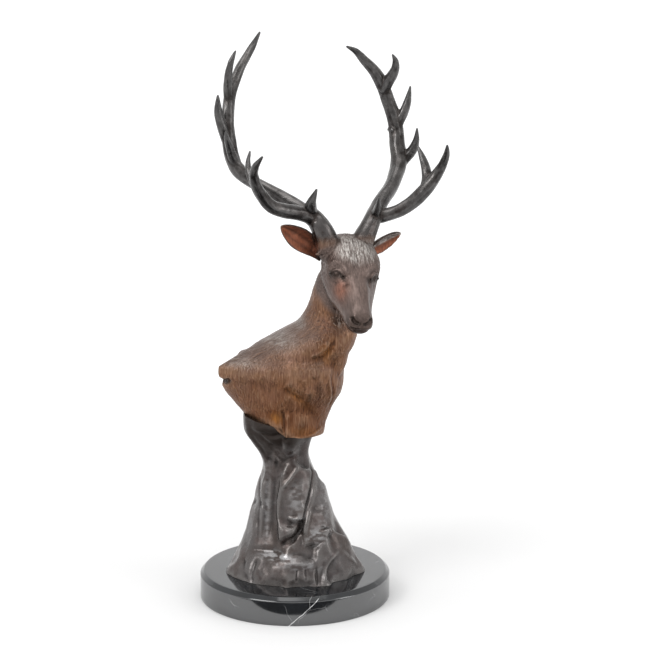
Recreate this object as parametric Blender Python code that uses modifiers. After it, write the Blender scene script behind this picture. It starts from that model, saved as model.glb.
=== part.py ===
# Bronze stag head sculpture: a stag's bust with antlers, cast in one piece,
# seated on a cast bronze rock that stands on a round black marble base.
# Metres, +Z up. The origin is the centre of the marble's underside.
# The viewer stands on the -Y side and +X is to the viewer's right.

import bpy
import bmesh
import math
import numpy as np
from mathutils import Vector

# driving dimensions of the marble base
BASE_RADIUS = 0.120
BASE_HEIGHT = 0.035
BASE_CHAMFER = 0.005
BASE_EASE = 0.0008

# clear gap between bronze and marble, and between rock and bust
SEAT_GAP = 0.0003

# the figure's height from the marble's top to the highest antler tip; its
# pose and carving are laid out in units of a 670th of that height, measured
# from the centre of the marble's top
FIGURE_HEIGHT = 0.670
UNIT = FIGURE_HEIGHT / 670.0

# the sloping cut on which the bust sits: height at the axis, fall to +X
SEAT_AT = 186.0
SEAT_FALL = math.tan(math.radians(14.5))

# the cut across the hind end of a body that heads 65 degrees from -Y to +X
BODY_HEADING = math.radians(65.0)
HIND_CUT = -79.0

# the head: point between the antler roots, and its attitude
HEAD_AT = (70.2, -30.0, 418.5)
HEAD_HEADING = math.radians(15.0)
HEAD_TILT = math.radians(7.5)
HEAD_PITCH = math.radians(40.0)

# the antlers are laid out from this point: outward, forward and up
CROWN_AT = (60.0, -30.0, 425.0)
CROWN_HEADING = math.radians(25.0)

SKIN = 1.6
ROCK_SKIN = 2.0
BUST_TRIANGLES = 7200
ROCK_TRIANGLES = 1900


def clear_scene():
    for ob in list(bpy.data.objects):
        bpy.data.objects.remove(ob, do_unlink=True)


def new_collection(name):
    coll = bpy.data.collections.new(name)
    bpy.context.scene.collection.children.link(coll)
    return coll


def new_material(name, colour, roughness, metallic):
    mat = bpy.data.materials.new(name)
    mat.use_nodes = True
    shader = mat.node_tree.nodes["Principled BSDF"]
    shader.inputs["Base Color"].default_value = (*colour, 1.0)
    shader.inputs["Roughness"].default_value = roughness
    shader.inputs["Metallic"].default_value = metallic
    return mat


def axes(heading, tilt=0.0, pitch=0.0):
    """Outward (to the viewer's right), forward and up, then tilted and pitched."""
    out = np.array([math.cos(heading), math.sin(heading), 0.0])
    fwd = np.array([math.sin(heading), -math.cos(heading), 0.0])
    up = np.array([0.0, 0.0, 1.0])
    side = math.cos(tilt) * out - math.sin(tilt) * up
    lift = math.cos(tilt) * up + math.sin(tilt) * out
    along = math.cos(pitch) * fwd - math.sin(pitch) * lift
    crown = math.sin(pitch) * fwd + math.cos(pitch) * lift
    return side, along, crown


def spline(keys, values, at):
    """Catmull-Rom through the keys; values may be rows of several numbers."""
    keys = np.asarray(keys, float)
    values = np.asarray(values, float)
    at = np.clip(np.asarray(at, float), keys[0], keys[-1])
    slope = np.gradient(values, keys, axis=0)
    i = np.clip(np.searchsorted(keys, at, side="right") - 1, 0, len(keys) - 2)
    h = keys[i + 1] - keys[i]
    t = (at - keys[i]) / h
    if values.ndim > 1:
        t, h = t[:, None], h[:, None]
    a, b, m, n = values[i], values[i + 1], slope[i], slope[i + 1]
    return ((2 * t**3 - 3 * t**2 + 1) * a + (t**3 - 2 * t**2 + t) * h * m
            + (3 * t**2 - 2 * t**3) * b + (t**3 - t**2) * h * n)


def loft(name, rings):
    """A closed body from rings of equal count, with a fan at each end."""
    rings = np.asarray(rings, float)
    rows, count, _ = rings.shape
    verts = np.concatenate([rings.reshape(-1, 3), rings[:1].mean(1), rings[-1:].mean(1)])
    faces = []
    for r in range(rows - 1):
        for c in range(count):
            d = (c + 1) % count
            faces.append((r * count + c, r * count + d,
                          (r + 1) * count + d, (r + 1) * count + c))
    low, high = rows * count, rows * count + 1
    for c in range(count):
        d = (c + 1) % count
        faces.append((low, d, c))
        faces.append((high, (rows - 1) * count + c, (rows - 1) * count + d))
    return body(name, verts, faces)


def body(name, verts, faces):
    mesh = bpy.data.meshes.new(name)
    mesh.from_pydata([tuple(v) for v in verts], [], faces)
    mesh.update()
    bm = bmesh.new()
    bm.from_mesh(mesh)
    bmesh.ops.recalc_face_normals(bm, faces=bm.faces)
    bm.to_mesh(mesh)
    bm.free()
    ob = bpy.data.objects.new(name, mesh)
    bpy.context.scene.collection.objects.link(ob)
    return ob


def hull(name, points):
    """The convex block around a few corner points."""
    mesh = bpy.data.meshes.new(name)
    bm = bmesh.new()
    for p in points:
        bm.verts.new(Vector(p) * UNIT)
    bmesh.ops.convex_hull(bm, input=bm.verts)
    bmesh.ops.recalc_face_normals(bm, faces=bm.faces)
    bm.to_mesh(mesh)
    bm.free()
    ob = bpy.data.objects.new(name, mesh)
    bpy.context.scene.collection.objects.link(ob)
    return ob


def ellipsoid(name, centre, radii, turn=(0.0, 0.0, 0.0)):
    bpy.ops.mesh.primitive_uv_sphere_add(segments=28, ring_count=16, radius=1.0,
                                         location=Vector(centre) * UNIT,
                                         rotation=[math.radians(a) for a in turn])
    ob = bpy.context.active_object
    ob.name = name
    ob.scale = Vector(radii) * UNIT
    return ob


def tube(name, points, radii):
    """A tapering round bar through the points, as a bevelled curve."""
    curve = bpy.data.curves.new(name, "CURVE")
    curve.dimensions = "3D"
    curve.bevel_depth = 1.0
    curve.bevel_resolution = 3
    curve.use_fill_caps = True
    curve.resolution_u = 5
    strand = curve.splines.new("BEZIER")
    strand.bezier_points.add(len(points) - 1)
    for knot, p, r in zip(strand.bezier_points, points, radii):
        knot.co = Vector(p)
        knot.radius = r
        knot.handle_left_type = knot.handle_right_type = "AUTO"
    ob = bpy.data.objects.new(name, curve)
    bpy.context.scene.collection.objects.link(ob)
    return solid_from_curve(ob)


def solid_from_curve(ob):
    bpy.context.view_layer.update()
    graph = bpy.context.evaluated_depsgraph_get()
    mesh = bpy.data.meshes.new_from_object(ob.evaluated_get(graph))
    bm = bmesh.new()
    bm.from_mesh(mesh)
    bmesh.ops.remove_doubles(bm, verts=bm.verts, dist=1e-6)
    bmesh.ops.recalc_face_normals(bm, faces=bm.faces)
    bm.to_mesh(mesh)
    bm.free()
    made = bpy.data.objects.new(ob.name, mesh)
    made.matrix_world = ob.matrix_world.copy()
    bpy.context.scene.collection.objects.link(made)
    bpy.data.objects.remove(ob, do_unlink=True)
    return made


def fuse(name, pieces, voxel, smooth):
    """Joins overlapping pieces into one skin, as wax is worked together."""
    bpy.context.view_layer.update()
    bm = bmesh.new()
    for ob in pieces:
        mesh = ob.data.copy()
        mesh.transform(ob.matrix_world)
        bm.from_mesh(mesh)
        bpy.data.meshes.remove(mesh)
        bpy.data.objects.remove(ob, do_unlink=True)
    mesh = bpy.data.meshes.new(name)
    bm.to_mesh(mesh)
    bm.free()
    ob = bpy.data.objects.new(name, mesh)
    bpy.context.scene.collection.objects.link(ob)
    skin = ob.modifiers.new("skin", "REMESH")
    skin.mode = "VOXEL"
    skin.voxel_size = voxel * UNIT
    soft = ob.modifiers.new("soft", "SMOOTH")
    soft.factor = 0.5
    soft.iterations = smooth
    apply_modifiers(ob)
    return ob


def apply_modifiers(ob):
    bpy.context.view_layer.update()
    graph = bpy.context.evaluated_depsgraph_get()
    mesh = bpy.data.meshes.new_from_object(ob.evaluated_get(graph))
    ob.modifiers.clear()
    old = ob.data
    ob.data = mesh
    bpy.data.meshes.remove(old)


def read_points(ob):
    mesh = ob.data
    co = np.empty(len(mesh.vertices) * 3, np.float32)
    no = np.empty(len(mesh.vertices) * 3, np.float32)
    mesh.vertices.foreach_get("co", co)
    mesh.vertex_normals.foreach_get("vector", no)
    return co.reshape(-1, 3).astype(float), no.reshape(-1, 3).astype(float)


def write_points(ob, co):
    ob.data.vertices.foreach_set("co", co.astype(np.float32).ravel())
    ob.data.update()


def path_distance(co, path):
    """Distance of each point from a polyline."""
    path = np.asarray(path, float) * UNIT
    best = np.full(len(co), 1e9)
    for a, b in zip(path[:-1], path[1:]):
        ab = b - a
        t = np.clip((co - a) @ ab / max(ab @ ab, 1e-12), 0.0, 1.0)
        best = np.minimum(best, np.linalg.norm(co - a - t[:, None] * ab, axis=1))
    return best


def groove(ob, path, width, depth):
    """Presses a soft groove along the path; a negative depth raises a ridge."""
    co, no = read_points(ob)
    gone = path_distance(co, path) / (width * UNIT)
    shape = np.exp(-gone**2 * 2.0) * (depth * UNIT)
    write_points(ob, co - no * shape[:, None])


def front_path(ob, seen):
    """Points of the skin nearest the viewer, for a path given as (x, z)."""
    co, _ = read_points(ob)
    path = []
    for x, z in seen:
        near = np.hypot(co[:, 0] - x * UNIT, co[:, 2] - z * UNIT) < 3.5 * UNIT
        front = co[near][:, 1].min() / UNIT if near.any() else 0.0
        path.append((x, front, z))
    return path


def thin_out(ob, triangles):
    """Fewer triangles where the form is plain."""
    count = sum(len(p.vertices) - 2 for p in ob.data.polygons)
    thin = ob.modifiers.new("thin", "DECIMATE")
    thin.ratio = triangles / count
    apply_modifiers(ob)


def plane_cut(ob, point, normal):
    """Cuts off the side the normal points to and closes the cut flat."""
    bm = bmesh.new()
    bm.from_mesh(ob.data)
    geom = list(bm.verts) + list(bm.edges) + list(bm.faces)
    bmesh.ops.bisect_plane(bm, geom=geom, plane_co=Vector(point),
                           plane_no=Vector(normal), dist=1e-5, clear_outer=True)
    bmesh.ops.holes_fill(bm, edges=[e for e in bm.edges if e.is_boundary])
    bmesh.ops.triangulate(bm, faces=bm.faces)
    bmesh.ops.recalc_face_normals(bm, faces=bm.faces)
    bm.to_mesh(ob.data)
    bm.free()


def tidy_mesh(ob, merge):
    bm = bmesh.new()
    bm.from_mesh(ob.data)
    bmesh.ops.remove_doubles(bm, verts=bm.verts, dist=merge)
    bmesh.ops.dissolve_degenerate(bm, edges=bm.edges, dist=merge)
    bmesh.ops.triangulate(bm, faces=bm.faces)
    bmesh.ops.recalc_face_normals(bm, faces=bm.faces)
    bm.to_mesh(ob.data)
    bm.free()


# the marble base

def marble_base(coll, mat):
    edge = BASE_RADIUS - BASE_EASE
    profile = [(0.0, 0.0), (edge, 0.0), (BASE_RADIUS, BASE_EASE),
               (BASE_RADIUS, BASE_HEIGHT - BASE_CHAMFER),
               (BASE_RADIUS - BASE_CHAMFER, BASE_HEIGHT), (0.0, BASE_HEIGHT)]
    mesh = bpy.data.meshes.new("marble_base")
    mesh.from_pydata([(x, 0.0, z) for x, z in profile], [],
                     [(i, i + 1) for i in range(len(profile) - 1)])
    ob = bpy.data.objects.new("marble_base", mesh)
    coll.objects.link(ob)
    turn = ob.modifiers.new("turn", "SCREW")
    turn.axis = "Z"
    turn.angle = 2 * math.pi
    turn.steps = turn.render_steps = 72
    turn.use_merge_vertices = True
    turn.merge_threshold = 1e-5
    ob.data.materials.append(mat)
    return ob


# the rock: height, centre across and in depth, half width across and in depth
ROCK_SECTIONS = [
    (-5, -1, -2, 86, 84), (8, -1, -2, 82, 79), (22, -1, -1, 76, 72),
    (35, 0, 0, 68, 64), (48, -2, 2, 62, 58), (61, -4, 3, 57, 53),
    (74, -6, 4, 52, 49), (87, -7, 4, 47, 46), (100, -6, 4, 44, 43),
    (113, -7, 4, 40, 40), (126, -8, 3, 33.5, 36), (139, -10.5, 2, 30, 33),
    (152, -14, 1, 31.5, 32), (165, -17, 0, 37, 35), (178, -19.5, -2, 43.5, 38),
    (191, -20, -2, 45, 39), (227, -18, 0, 43, 37)]


def rock_form():
    keys = [s[0] for s in ROCK_SECTIONS]
    heights = np.linspace(keys[0], keys[-1], 59)
    rows = spline(keys, [s[1:] for s in ROCK_SECTIONS], heights)
    rings = []
    for z, (cx, cy, rx, ry) in zip(heights, rows):
        turn = np.linspace(0.0, 2 * math.pi, 72, endpoint=False)
        foot = np.clip((55.0 - z) / 60.0, 0.0, 1.0)
        # uneven flutes down the sides and broken facets at the foot
        swell = (0.035 * np.cos(5 * turn + 0.6) + 0.030 * np.cos(9 * turn + 2.0 + z * 0.010)
                 + foot * 0.030 * np.cos(7 * turn + 1.0))
        rings.append(np.stack([cx + rx * (1 + swell) * np.cos(turn),
                               cy + ry * (1 + swell) * np.sin(turn),
                               np.full_like(turn, z)], 1) * UNIT)
    return loft("boulder", rings)


def rock(coll, mat):
    parts = [rock_form()]
    # the masses that stand out: right flank, right foot, front ledge, the
    # slab in the middle and the block under the seat
    parts.append(hull("right_mass", [
        (8, -40, 137), (22, -26, 135), (32, 0, 125), (10, -50, 85), (34, -38, 89),
        (39, -5, 85), (14, -62, 43), (52, -38, 45), (58, 0, 41), (10, 0, 25)]))
    parts.append(hull("right_wedge", [
        (24, -50, 61), (46, -46, 69), (68, -24, 49), (84, -18, -1), (66, -56, -2),
        (40, -76, -3), (30, -68, 27), (74, -32, 23), (20, -20, -3)]))
    parts.append(hull("front_ledge", [
        (-64, -54, 13), (-56, -50, 23), (-22, -72, 25), (8, -76, 20), (20, -66, 23),
        (-30, -60, 29), (-66, -58, -3), (-34, -80, -3), (14, -88, -3), (28, -80, -3)]))
    parts.append(hull("middle_slab", [
        (-14, -46, 125), (8, -46, 123), (12, -52, 89), (-4, -64, 57), (-20, -62, 49),
        (-24, -54, 85), (-10, -20, 115), (0, -20, 55)]))
    parts.append(hull("seat_block", [
        (-62, -22, 201), (-48, -38, 205), (-10, -44, 197), (-8, -38, 183), (-26, -42, 181),
        (-46, -38, 181), (-60, -16, 187), (-20, 0, 175), (-20, 0, 205)]))
    ob = fuse("rock", parts, ROCK_SKIN, 3)
    # the long curved crease, the flutes on the left and the hollow at the waist
    groove(ob, front_path(ob, [(23, 140), (22, 113), (16, 89), (7, 66), (-5, 49),
                               (-12, 42)]), 4.5, 7.0)
    groove(ob, front_path(ob, [(-39, 129), (-42, 95), (-47, 63), (-52, 40)]), 4.0, 3.5)
    groove(ob, front_path(ob, [(-32, 135), (-34, 95), (-38, 57), (-40, 35)]), 4.0, 4.0)
    groove(ob, front_path(ob, [(-22, 132), (-26, 102), (-28, 63), (-30, 38)]), 4.0, 4.0)
    groove(ob, front_path(ob, [(-30, 165), (-20, 153), (-13, 142)]), 7.0, 6.0)
    groove(ob, front_path(ob, [(-58, 183), (-44, 176), (-26, 176), (-9, 181)]), 4.5, 5.0)
    groove(ob, front_path(ob, [(30, 57), (46, 65), (58, 69)]), 5.0, 5.0)
    groove(ob, front_path(ob, [(30, 45), (34, 22), (37, 3)]), 4.0, 5.0)
    groove(ob, front_path(ob, [(-62, 29), (-40, 31), (-14, 31), (10, 27), (26, 21)]), 5.0, 4.0)
    # the same folds run on round the back, plainer
    groove(ob, [(-20, 40, 135), (-26, 46, 95), (-20, 58, 55), (-24, 74, 15)], 6.0, 6.0)
    groove(ob, [(16, 36, 141), (26, 42, 95), (34, 56, 49), (30, 74, 15)], 6.0, 6.0)
    groove(ob, [(-44, 12, 125), (-52, 16, 75), (-70, 24, 25)], 5.0, 5.0)
    thin_out(ob, ROCK_TRIANGLES)
    plane_cut(ob, (0, 0, SEAT_GAP), (0, 0, -1))
    plane_cut(ob, (0, 0, SEAT_AT * UNIT - SEAT_GAP), (SEAT_FALL, 0, 1))
    tidy_mesh(ob, 0.3 * UNIT)
    return finish(ob, coll, mat)


def finish(ob, coll, mat):
    for old in list(ob.users_collection):
        old.objects.unlink(ob)
    coll.objects.link(ob)
    ob.location.z = BASE_HEIGHT
    ob.data.materials.clear()
    ob.data.materials.append(mat)
    ob.data.shade_smooth()
    ob.data.set_sharp_from_angle(angle=math.radians(40))
    return ob


# the bust's neck and shoulder as level slices: height, centre x and y,
# half length along the body, half thickness, heading of the slice, fullness
BUST_SECTIONS = [
    (151, 2, -26, 20, 18, 65, 2.4), (165, -1, -20, 32, 26, 65, 2.4),
    (177, -4, -14, 42, 32, 65, 2.3), (191, -8, -9, 48, 37, 65, 2.3),
    (204, -11, -4, 56, 40, 65, 2.3), (219, -15, -1, 68, 43, 65, 2.3),
    (231, -17, 1, 78, 45, 65, 2.4), (244, -23, 3, 87, 45, 65, 2.5),
    (257, -28, 4, 92, 45, 65, 2.6), (265, -24, 3, 88, 44, 64, 2.5),
    (271, -13, -1, 75, 43, 64, 2.3), (277, -3.5, -5.2, 68.5, 41, 64, 2.2),
    (285, 7.5, -9.2, 66.3, 40, 63, 2.1), (294, 17.3, -12.2, 60.5, 38, 62, 2.1),
    (307, 30.3, -14.5, 51.5, 34, 58, 2.1), (319, 40, -15.3, 40, 32, 50, 2.0),
    (332, 44, -16, 33, 29, 42, 2.0), (344, 48, -17, 31, 28.5, 34, 2.0),
    (356, 51, -18, 30, 28.5, 26, 2.0), (369, 54.5, -19, 29, 27.5, 20, 2.0),
    (381, 58.5, -20, 28, 26, 18, 2.0), (395, 62.5, -21, 25.5, 24, 18, 2.0),
    (407, 66, -22, 20, 19, 18, 2.0)]


def slice_ring(z, cx, cy, length, thick, heading, power, count=64):
    turn = np.linspace(0.0, 2 * math.pi, count, endpoint=False)
    side, fwd, _ = axes(math.radians(heading))
    a = np.sign(np.cos(turn)) * np.abs(np.cos(turn)) ** (2.0 / power) * length
    b = np.sign(np.sin(turn)) * np.abs(np.sin(turn)) ** (2.0 / power) * thick
    ring = a[:, None] * fwd + b[:, None] * side
    return (ring + np.array([cx, cy, z])) * UNIT


def torso_form():
    keys = [s[0] for s in BUST_SECTIONS]
    heights = np.linspace(keys[0], keys[-1], 85)
    rows = spline(keys, [s[1:] for s in BUST_SECTIONS], heights)
    return loft("torso", [slice_ring(z, *row) for z, row in zip(heights, rows)])


# the head from crown to nose: distance along, top and underside of the
# profile, half width, height of the widest part
HEAD_SECTIONS = [
    (-24, -10, -34, 15, -22), (-14, 1, -44, 26, -17), (-2, 7, -52, 31, -13),
    (11, 9, -58, 33, -12), (25, 8.5, -62, 33.5, -11), (37, 6.5, -65, 33, -11),
    (49, 3.5, -63, 30.5, -14), (61, 1, -55, 27, -17), (77, -1, -43, 21, -18),
    (92, -3, -35.5, 17, -18), (105, -4, -33, 16, -17), (114, -6.5, -31.5, 15.5, -17),
    (121, -11, -28.5, 12.5, -18), (124.5, -15, -25.5, 8, -19)]


def on_head(ahead, aside, rise):
    side, along, crown = axes(HEAD_HEADING, HEAD_TILT, HEAD_PITCH)
    return np.array(HEAD_AT) + ahead * along + aside * side + rise * crown


def head_form():
    keys = [s[0] for s in HEAD_SECTIONS]
    stations = np.linspace(keys[0], keys[-1], 60)
    rows = spline(keys, [s[1:] for s in HEAD_SECTIONS], stations)
    turn = np.linspace(0.0, 2 * math.pi, 48, endpoint=False)
    side, along, crown = axes(HEAD_HEADING, HEAD_TILT, HEAD_PITCH)
    rings = []
    for a, (top, low, wide, mid) in zip(stations, rows):
        s = np.sin(turn)
        across = np.sign(np.cos(turn)) * np.abs(np.cos(turn)) ** 0.85 * wide
        rise = mid + np.where(s > 0, np.abs(s) ** 0.9 * (top - mid), -np.abs(s) * (mid - low))
        # the jaw is narrower than the brow
        across *= np.where(s < 0, 1 - 0.25 * np.abs(s), 1.0)
        at = on_head(a, 0, 0)
        rings.append((at + across[:, None] * side + rise[:, None] * crown) * UNIT)
    return loft("head", rings)


# one ear: share of its length, half width, depth of the bowl
EAR_SECTIONS = [(0.0, 9, 5), (0.15, 10, 6.5), (0.3, 12, 7), (0.45, 14, 7),
                (0.6, 14, 6), (0.75, 11.5, 5), (0.88, 7.5, 3), (0.97, 3.2, 1), (1.0, 1.2, 0)]


def ear(name, root, tip, upper, opening):
    """A pointed leaf rolled into a bowl: a thick crescent lofted to the tip."""
    root, tip = np.asarray(root, float), np.asarray(tip, float)
    along = tip - root
    length = np.linalg.norm(along)
    along /= length
    face = np.asarray(opening, float)
    face -= face @ along * along
    face /= np.linalg.norm(face)
    across = np.cross(along, face)
    if across @ np.asarray(upper, float) < 0:
        across = -across
    shares = np.linspace(0.0, 1.0, 24)
    rows = spline([s[0] for s in EAR_SECTIONS], [s[1:] for s in EAR_SECTIONS], shares)
    rings = []
    for share, (wide, bowl) in zip(shares, rows):
        v = np.linspace(-1.0, 1.0, 13)
        thick = min(1.6, 0.6 + wide * 0.25)
        back = np.stack([v * wide, -bowl * (1 - v**2) - thick], 1)
        front = np.stack([v[::-1] * wide * 0.94, -bowl * (1 - v**2) + thick], 1)
        ring = np.concatenate([back, front])
        at = root + along * length * share
        rings.append((at + ring[:, :1] * across + ring[:, 1:] * face) * UNIT)
    return loft(name, rings)


# antler stations from the crown: outward, forward, up and radius, in units.
# The sculptor's two antlers differ a little, so each has its own stations.
NEAR_ANTLER = {
    "beam": [(18, 2, -16, 15), (23, -1, 1, 14), (29, -4, 15, 12.3), (35.5, -12, 26, 10.6),
             (44, -22, 33, 9.2), (55, -34, 41.5, 9), (68, -46, 50.5, 8.5), (82, -55, 59.3, 8),
             (96.5, -64, 68.5, 7.9), (107.5, -71, 79.5, 8.6), (113, -76, 95, 9), (114.5, -81, 113, 8.8),
             (114.2, -86, 132, 8.2), (112, -90, 150, 7.8), (107, -96, 169, 7.4),
             (99, -101, 185, 6.7), (90, -104, 202, 6), (79, -110, 216, 5.2),
             (67, -116, 231, 4), (59, -116, 245, 1.6)],
    "bez": [(34, -12, 26, 9), (40, -6, 33, 8.2), (44, 4, 43, 6.2), (42, 15, 60, 1.6)],
    "brow": [(32, -10, 19, 9), (44, -7, 27, 9), (58, -6, 31.5, 9.1), (77, -3, 35.3, 8.8),
             (94, 0, 41.5, 8.1), (108, 4, 55, 7.3), (117, 9, 68, 6.6), (122, 14, 80, 5.6),
             (124, 26, 91, 4.2), (121, 38, 102, 1.5)],
    "brow_fork": [(106, 2, 52, 6), (114, -3, 67, 5.2), (118, -8, 79, 4.2),
                  (117, -15, 92, 3.2), (112, -21, 105, 1.3)],
    "trez": [(104, -70, 80, 7), (112, -70, 90, 6.2), (121, -64, 108, 4.8),
             (126, -59, 118, 3.6), (129, -55, 127, 1.3)],
    "upper": [(111, -78, 100, 7), (116, -82, 115, 7.2), (124.5, -80, 134, 6.4),
              (129.5, -78, 151, 5.2), (130.5, -76, 169, 1.7)],
    "crown_tine": [(111, -90, 148, 6.4), (111, -92, 168, 5.6), (113, -88, 184, 5.2),
                   (113, -83, 200, 4.4), (110, -80, 213, 3.2), (106, -79, 222, 1.4)],
}
FAR_ANTLER = {
    "beam": [(20, 2, -18, 14), (28.5, -1, -3, 13.4), (37.5, -4, 10, 11.8), (49, -12, 25, 10.4),
             (60.5, -22, 36, 9.6), (71, -30, 44, 9.3), (83, -39, 52, 9.2), (93, -48, 60, 9.2),
             (102, -58, 69, 9.8), (109, -66, 77, 10.4), (114, -73, 90, 10.4), (115, -80, 106, 10),
             (116, -86, 126, 9.4), (114, -90, 143, 9.2), (110, -95, 159, 8.8),
             (106, -99, 174, 8.5), (100, -101, 187, 8.3), (92, -105, 200, 7.1),
             (82, -110, 212, 5.8), (72.5, -115, 222.8, 4), (61, -116, 228.2, 1.6)],
    "bez": [(42, -12, 16, 7), (45, -4, 25, 6), (44, 5, 33, 4.6), (41, 15, 47, 1.6)],
    "brow": [(44, -12, 21, 7.5), (51, -10, 21.2, 8), (64, -6, 24.4, 8.2), (77, -4, 28.4, 8.2),
             (93.5, 0, 38.3, 8.6), (110.5, 4, 54.3, 8.6), (122, 9, 70.5, 7.4), (127.3, 17, 85.5, 5.5),
             (126.5, 28, 99.5, 4), (121.5, 38, 109.5, 1.6)],
    "brow_fork": [(112, 2, 55, 7.4), (117.5, -4, 68, 6.8), (118, -9, 79, 5.8),
                  (116, -14, 92, 4.4), (112.5, -21, 106.5, 1.5)],
    "trez": [(108, -68, 76, 8.8), (118, -71, 86, 8), (128, -64, 98, 6.4),
             (131, -59, 111, 4.4), (130, -55, 126, 1.5)],
    "upper": [(112, -86, 120, 8.4), (118, -86, 132, 8), (124, -82, 144, 6.4),
              (129, -79, 160, 4.8), (131, -76, 178, 1.5)],
    "crown_tine": [(103, -99, 172, 8), (107.5, -94, 183, 7.8), (112, -88, 193.5, 6.6),
                   (113.8, -84, 202.3, 5.2), (112, -81, 211, 3.8), (107, -79, 218, 1.5)],
}


def antler(stations, hand):
    bars = []
    for name, rows in stations.items():
        points = [crown_point(hand * s, t, h) * UNIT for s, t, h, _ in rows]
        bars.append(tube(name, points, [r * UNIT for *_, r in rows]))
    return bars


def crown_point(s, t, h):
    out, fwd, up = axes(CROWN_HEADING)
    return np.array(CROWN_AT) + s * out + t * fwd + h * up


def stag_bust(coll, mat):
    out, fwd, up = axes(CROWN_HEADING)
    head = on_head
    parts = [torso_form(), head_form()]
    # shoulder muscle towards the viewer, stump of the near foreleg, ruff
    parts.append(ellipsoid("shoulder", (-2, -28, 255), (40, 20, 50), (0, 8, -25)))
    parts.append(ellipsoid("foreleg", (10, -30, 199), (21, 22, 56), (0, -4, -20)))
    parts.append(ellipsoid("ruff", (44, -28, 283), (24, 20, 46), (0, 14, -30)))
    # brows, eyes, nostril wings
    for hand in (-1, 1):
        parts.append(ellipsoid("brow", head(36, hand * 24, -4), (9, 9, 6.5)))
        parts.append(ellipsoid("eye", head(45 + hand * 2, hand * 26, -12), (6, 6, 6)))
        parts.append(ellipsoid("nose_side", head(114, hand * 8.5, -11.5), (6, 7, 6.5)))
    parts.append(ellipsoid("chin", head(109, 0, -26.5), (9, 10, 7)))
    parts.append(ear("near_ear", crown_point(-25, -6, -21.5), crown_point(-80, -3, 13.5),
                     (0, 0, 1), fwd - 0.25 * up - 0.2 * out))
    parts.append(ear("far_ear", crown_point(32, -6, -26), crown_point(81, -3, 1),
                     (0, 0, 1), 0.75 * fwd - 0.3 * up + 0.65 * out))
    parts += antler(NEAR_ANTLER, -1)
    parts += antler(FAR_ANTLER, 1)
    ob = fuse("stag_bust", parts, SKIN, 4)
    # eye corners and lids, nostrils, mouth
    for hand in (-1, 1):
        groove(ob, [head(50, hand * 27, -8), head(57, hand * 23, -13)], 3.5, 3.2)
        groove(ob, [head(38, hand * 32, -17), head(50, hand * 29, -19)], 3.0, 2.0)
        groove(ob, [head(117, hand * 7, -9.5), head(111, hand * 11, -8.5)], 2.6, 3.4)
        groove(ob, [head(123, 0, -21), head(115, hand * 13, -22),
                    head(98, hand * 17, -20)], 2.2, 2.0)
    # folds of the near shoulder, the ruff's edge, the brisket and the foreleg
    groove(ob, front_path(ob, [(-90, 254), (-82, 251), (-72, 246)]), 4.5, 7.0)
    groove(ob, front_path(ob, [(-19, 245), (-7, 235), (5, 226)]), 5.5, 4.5)
    groove(ob, front_path(ob, [(-8, 313), (-7, 304), (-4, 294)]), 4.0, 2.5)
    groove(ob, front_path(ob, [(45, 303), (46, 292), (40, 281), (34, 273)]), 8.0, 4.0)
    groove(ob, front_path(ob, [(43, 261), (45, 245), (45, 229), (42, 215)]), 4.0, 3.5)
    groove(ob, front_path(ob, [(-13, 217), (-13, 201), (-12, 187)]), 4.5, 4.5)
    groove(ob, front_path(ob, [(-56, 215), (-39, 210), (-22, 207)]), 5.0, 3.0)
    thin_out(ob, BUST_TRIANGLES)
    _, heading, _ = axes(BODY_HEADING)
    plane_cut(ob, heading * HIND_CUT * UNIT, -heading)
    plane_cut(ob, (0, 0, SEAT_AT * UNIT), (-SEAT_FALL, 0, -1))
    tidy_mesh(ob, 0.3 * UNIT)
    return finish(ob, coll, mat)


def main():
    clear_scene()
    parts = new_collection("bronze_stag_head_sculpture")
    black_marble = new_material("black_marble", (0.018, 0.020, 0.022), 0.08, 0.0)
    dark_bronze = new_material("dark_bronze", (0.095, 0.075, 0.062), 0.34, 1.0)
    brown_bronze = new_material("brown_bronze", (0.23, 0.13, 0.078), 0.38, 1.0)
    marble_base(parts, black_marble)
    rock(parts, dark_bronze)
    stag_bust(parts, brown_bronze)


main()
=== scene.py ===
"""A cast bronze stag's head on a bronze rock and a round black marble base."""

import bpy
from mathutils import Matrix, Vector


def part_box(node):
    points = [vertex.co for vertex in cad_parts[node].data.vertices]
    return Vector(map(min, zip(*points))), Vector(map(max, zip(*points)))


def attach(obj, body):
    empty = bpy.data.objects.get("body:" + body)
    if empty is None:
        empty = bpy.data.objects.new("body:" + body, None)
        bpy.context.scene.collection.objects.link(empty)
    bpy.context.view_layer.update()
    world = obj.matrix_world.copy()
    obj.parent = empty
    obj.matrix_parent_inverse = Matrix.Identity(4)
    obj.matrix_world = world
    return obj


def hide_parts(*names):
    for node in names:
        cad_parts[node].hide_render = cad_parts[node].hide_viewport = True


bl_info = {
    "name": "Bronze stag head sculpture",
    "version": (1, 0, 0),
    "blender": (4, 5, 0),
    "location": "View3D > Sidebar > Stag",
    "description": "Builds a cast bronze stag's head on a bronze rock and a marble base",
    "category": "Object",
}

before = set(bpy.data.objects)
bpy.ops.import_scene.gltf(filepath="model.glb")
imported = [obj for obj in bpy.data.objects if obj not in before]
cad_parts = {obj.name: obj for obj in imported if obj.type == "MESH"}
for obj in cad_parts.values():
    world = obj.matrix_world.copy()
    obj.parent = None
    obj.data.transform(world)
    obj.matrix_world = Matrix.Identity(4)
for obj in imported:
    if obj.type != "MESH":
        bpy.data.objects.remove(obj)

import math

import bmesh
import bpy
import numpy as np
from bpy.props import FloatProperty, FloatVectorProperty, IntProperty, PointerProperty
from mathutils import Euler, Vector

bpy.context.view_layer.update()
BASE_LOW, BASE_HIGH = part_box("marble_base")
BUST_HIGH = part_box("stag_bust")[1]
ROCK_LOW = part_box("rock")[0]

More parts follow.
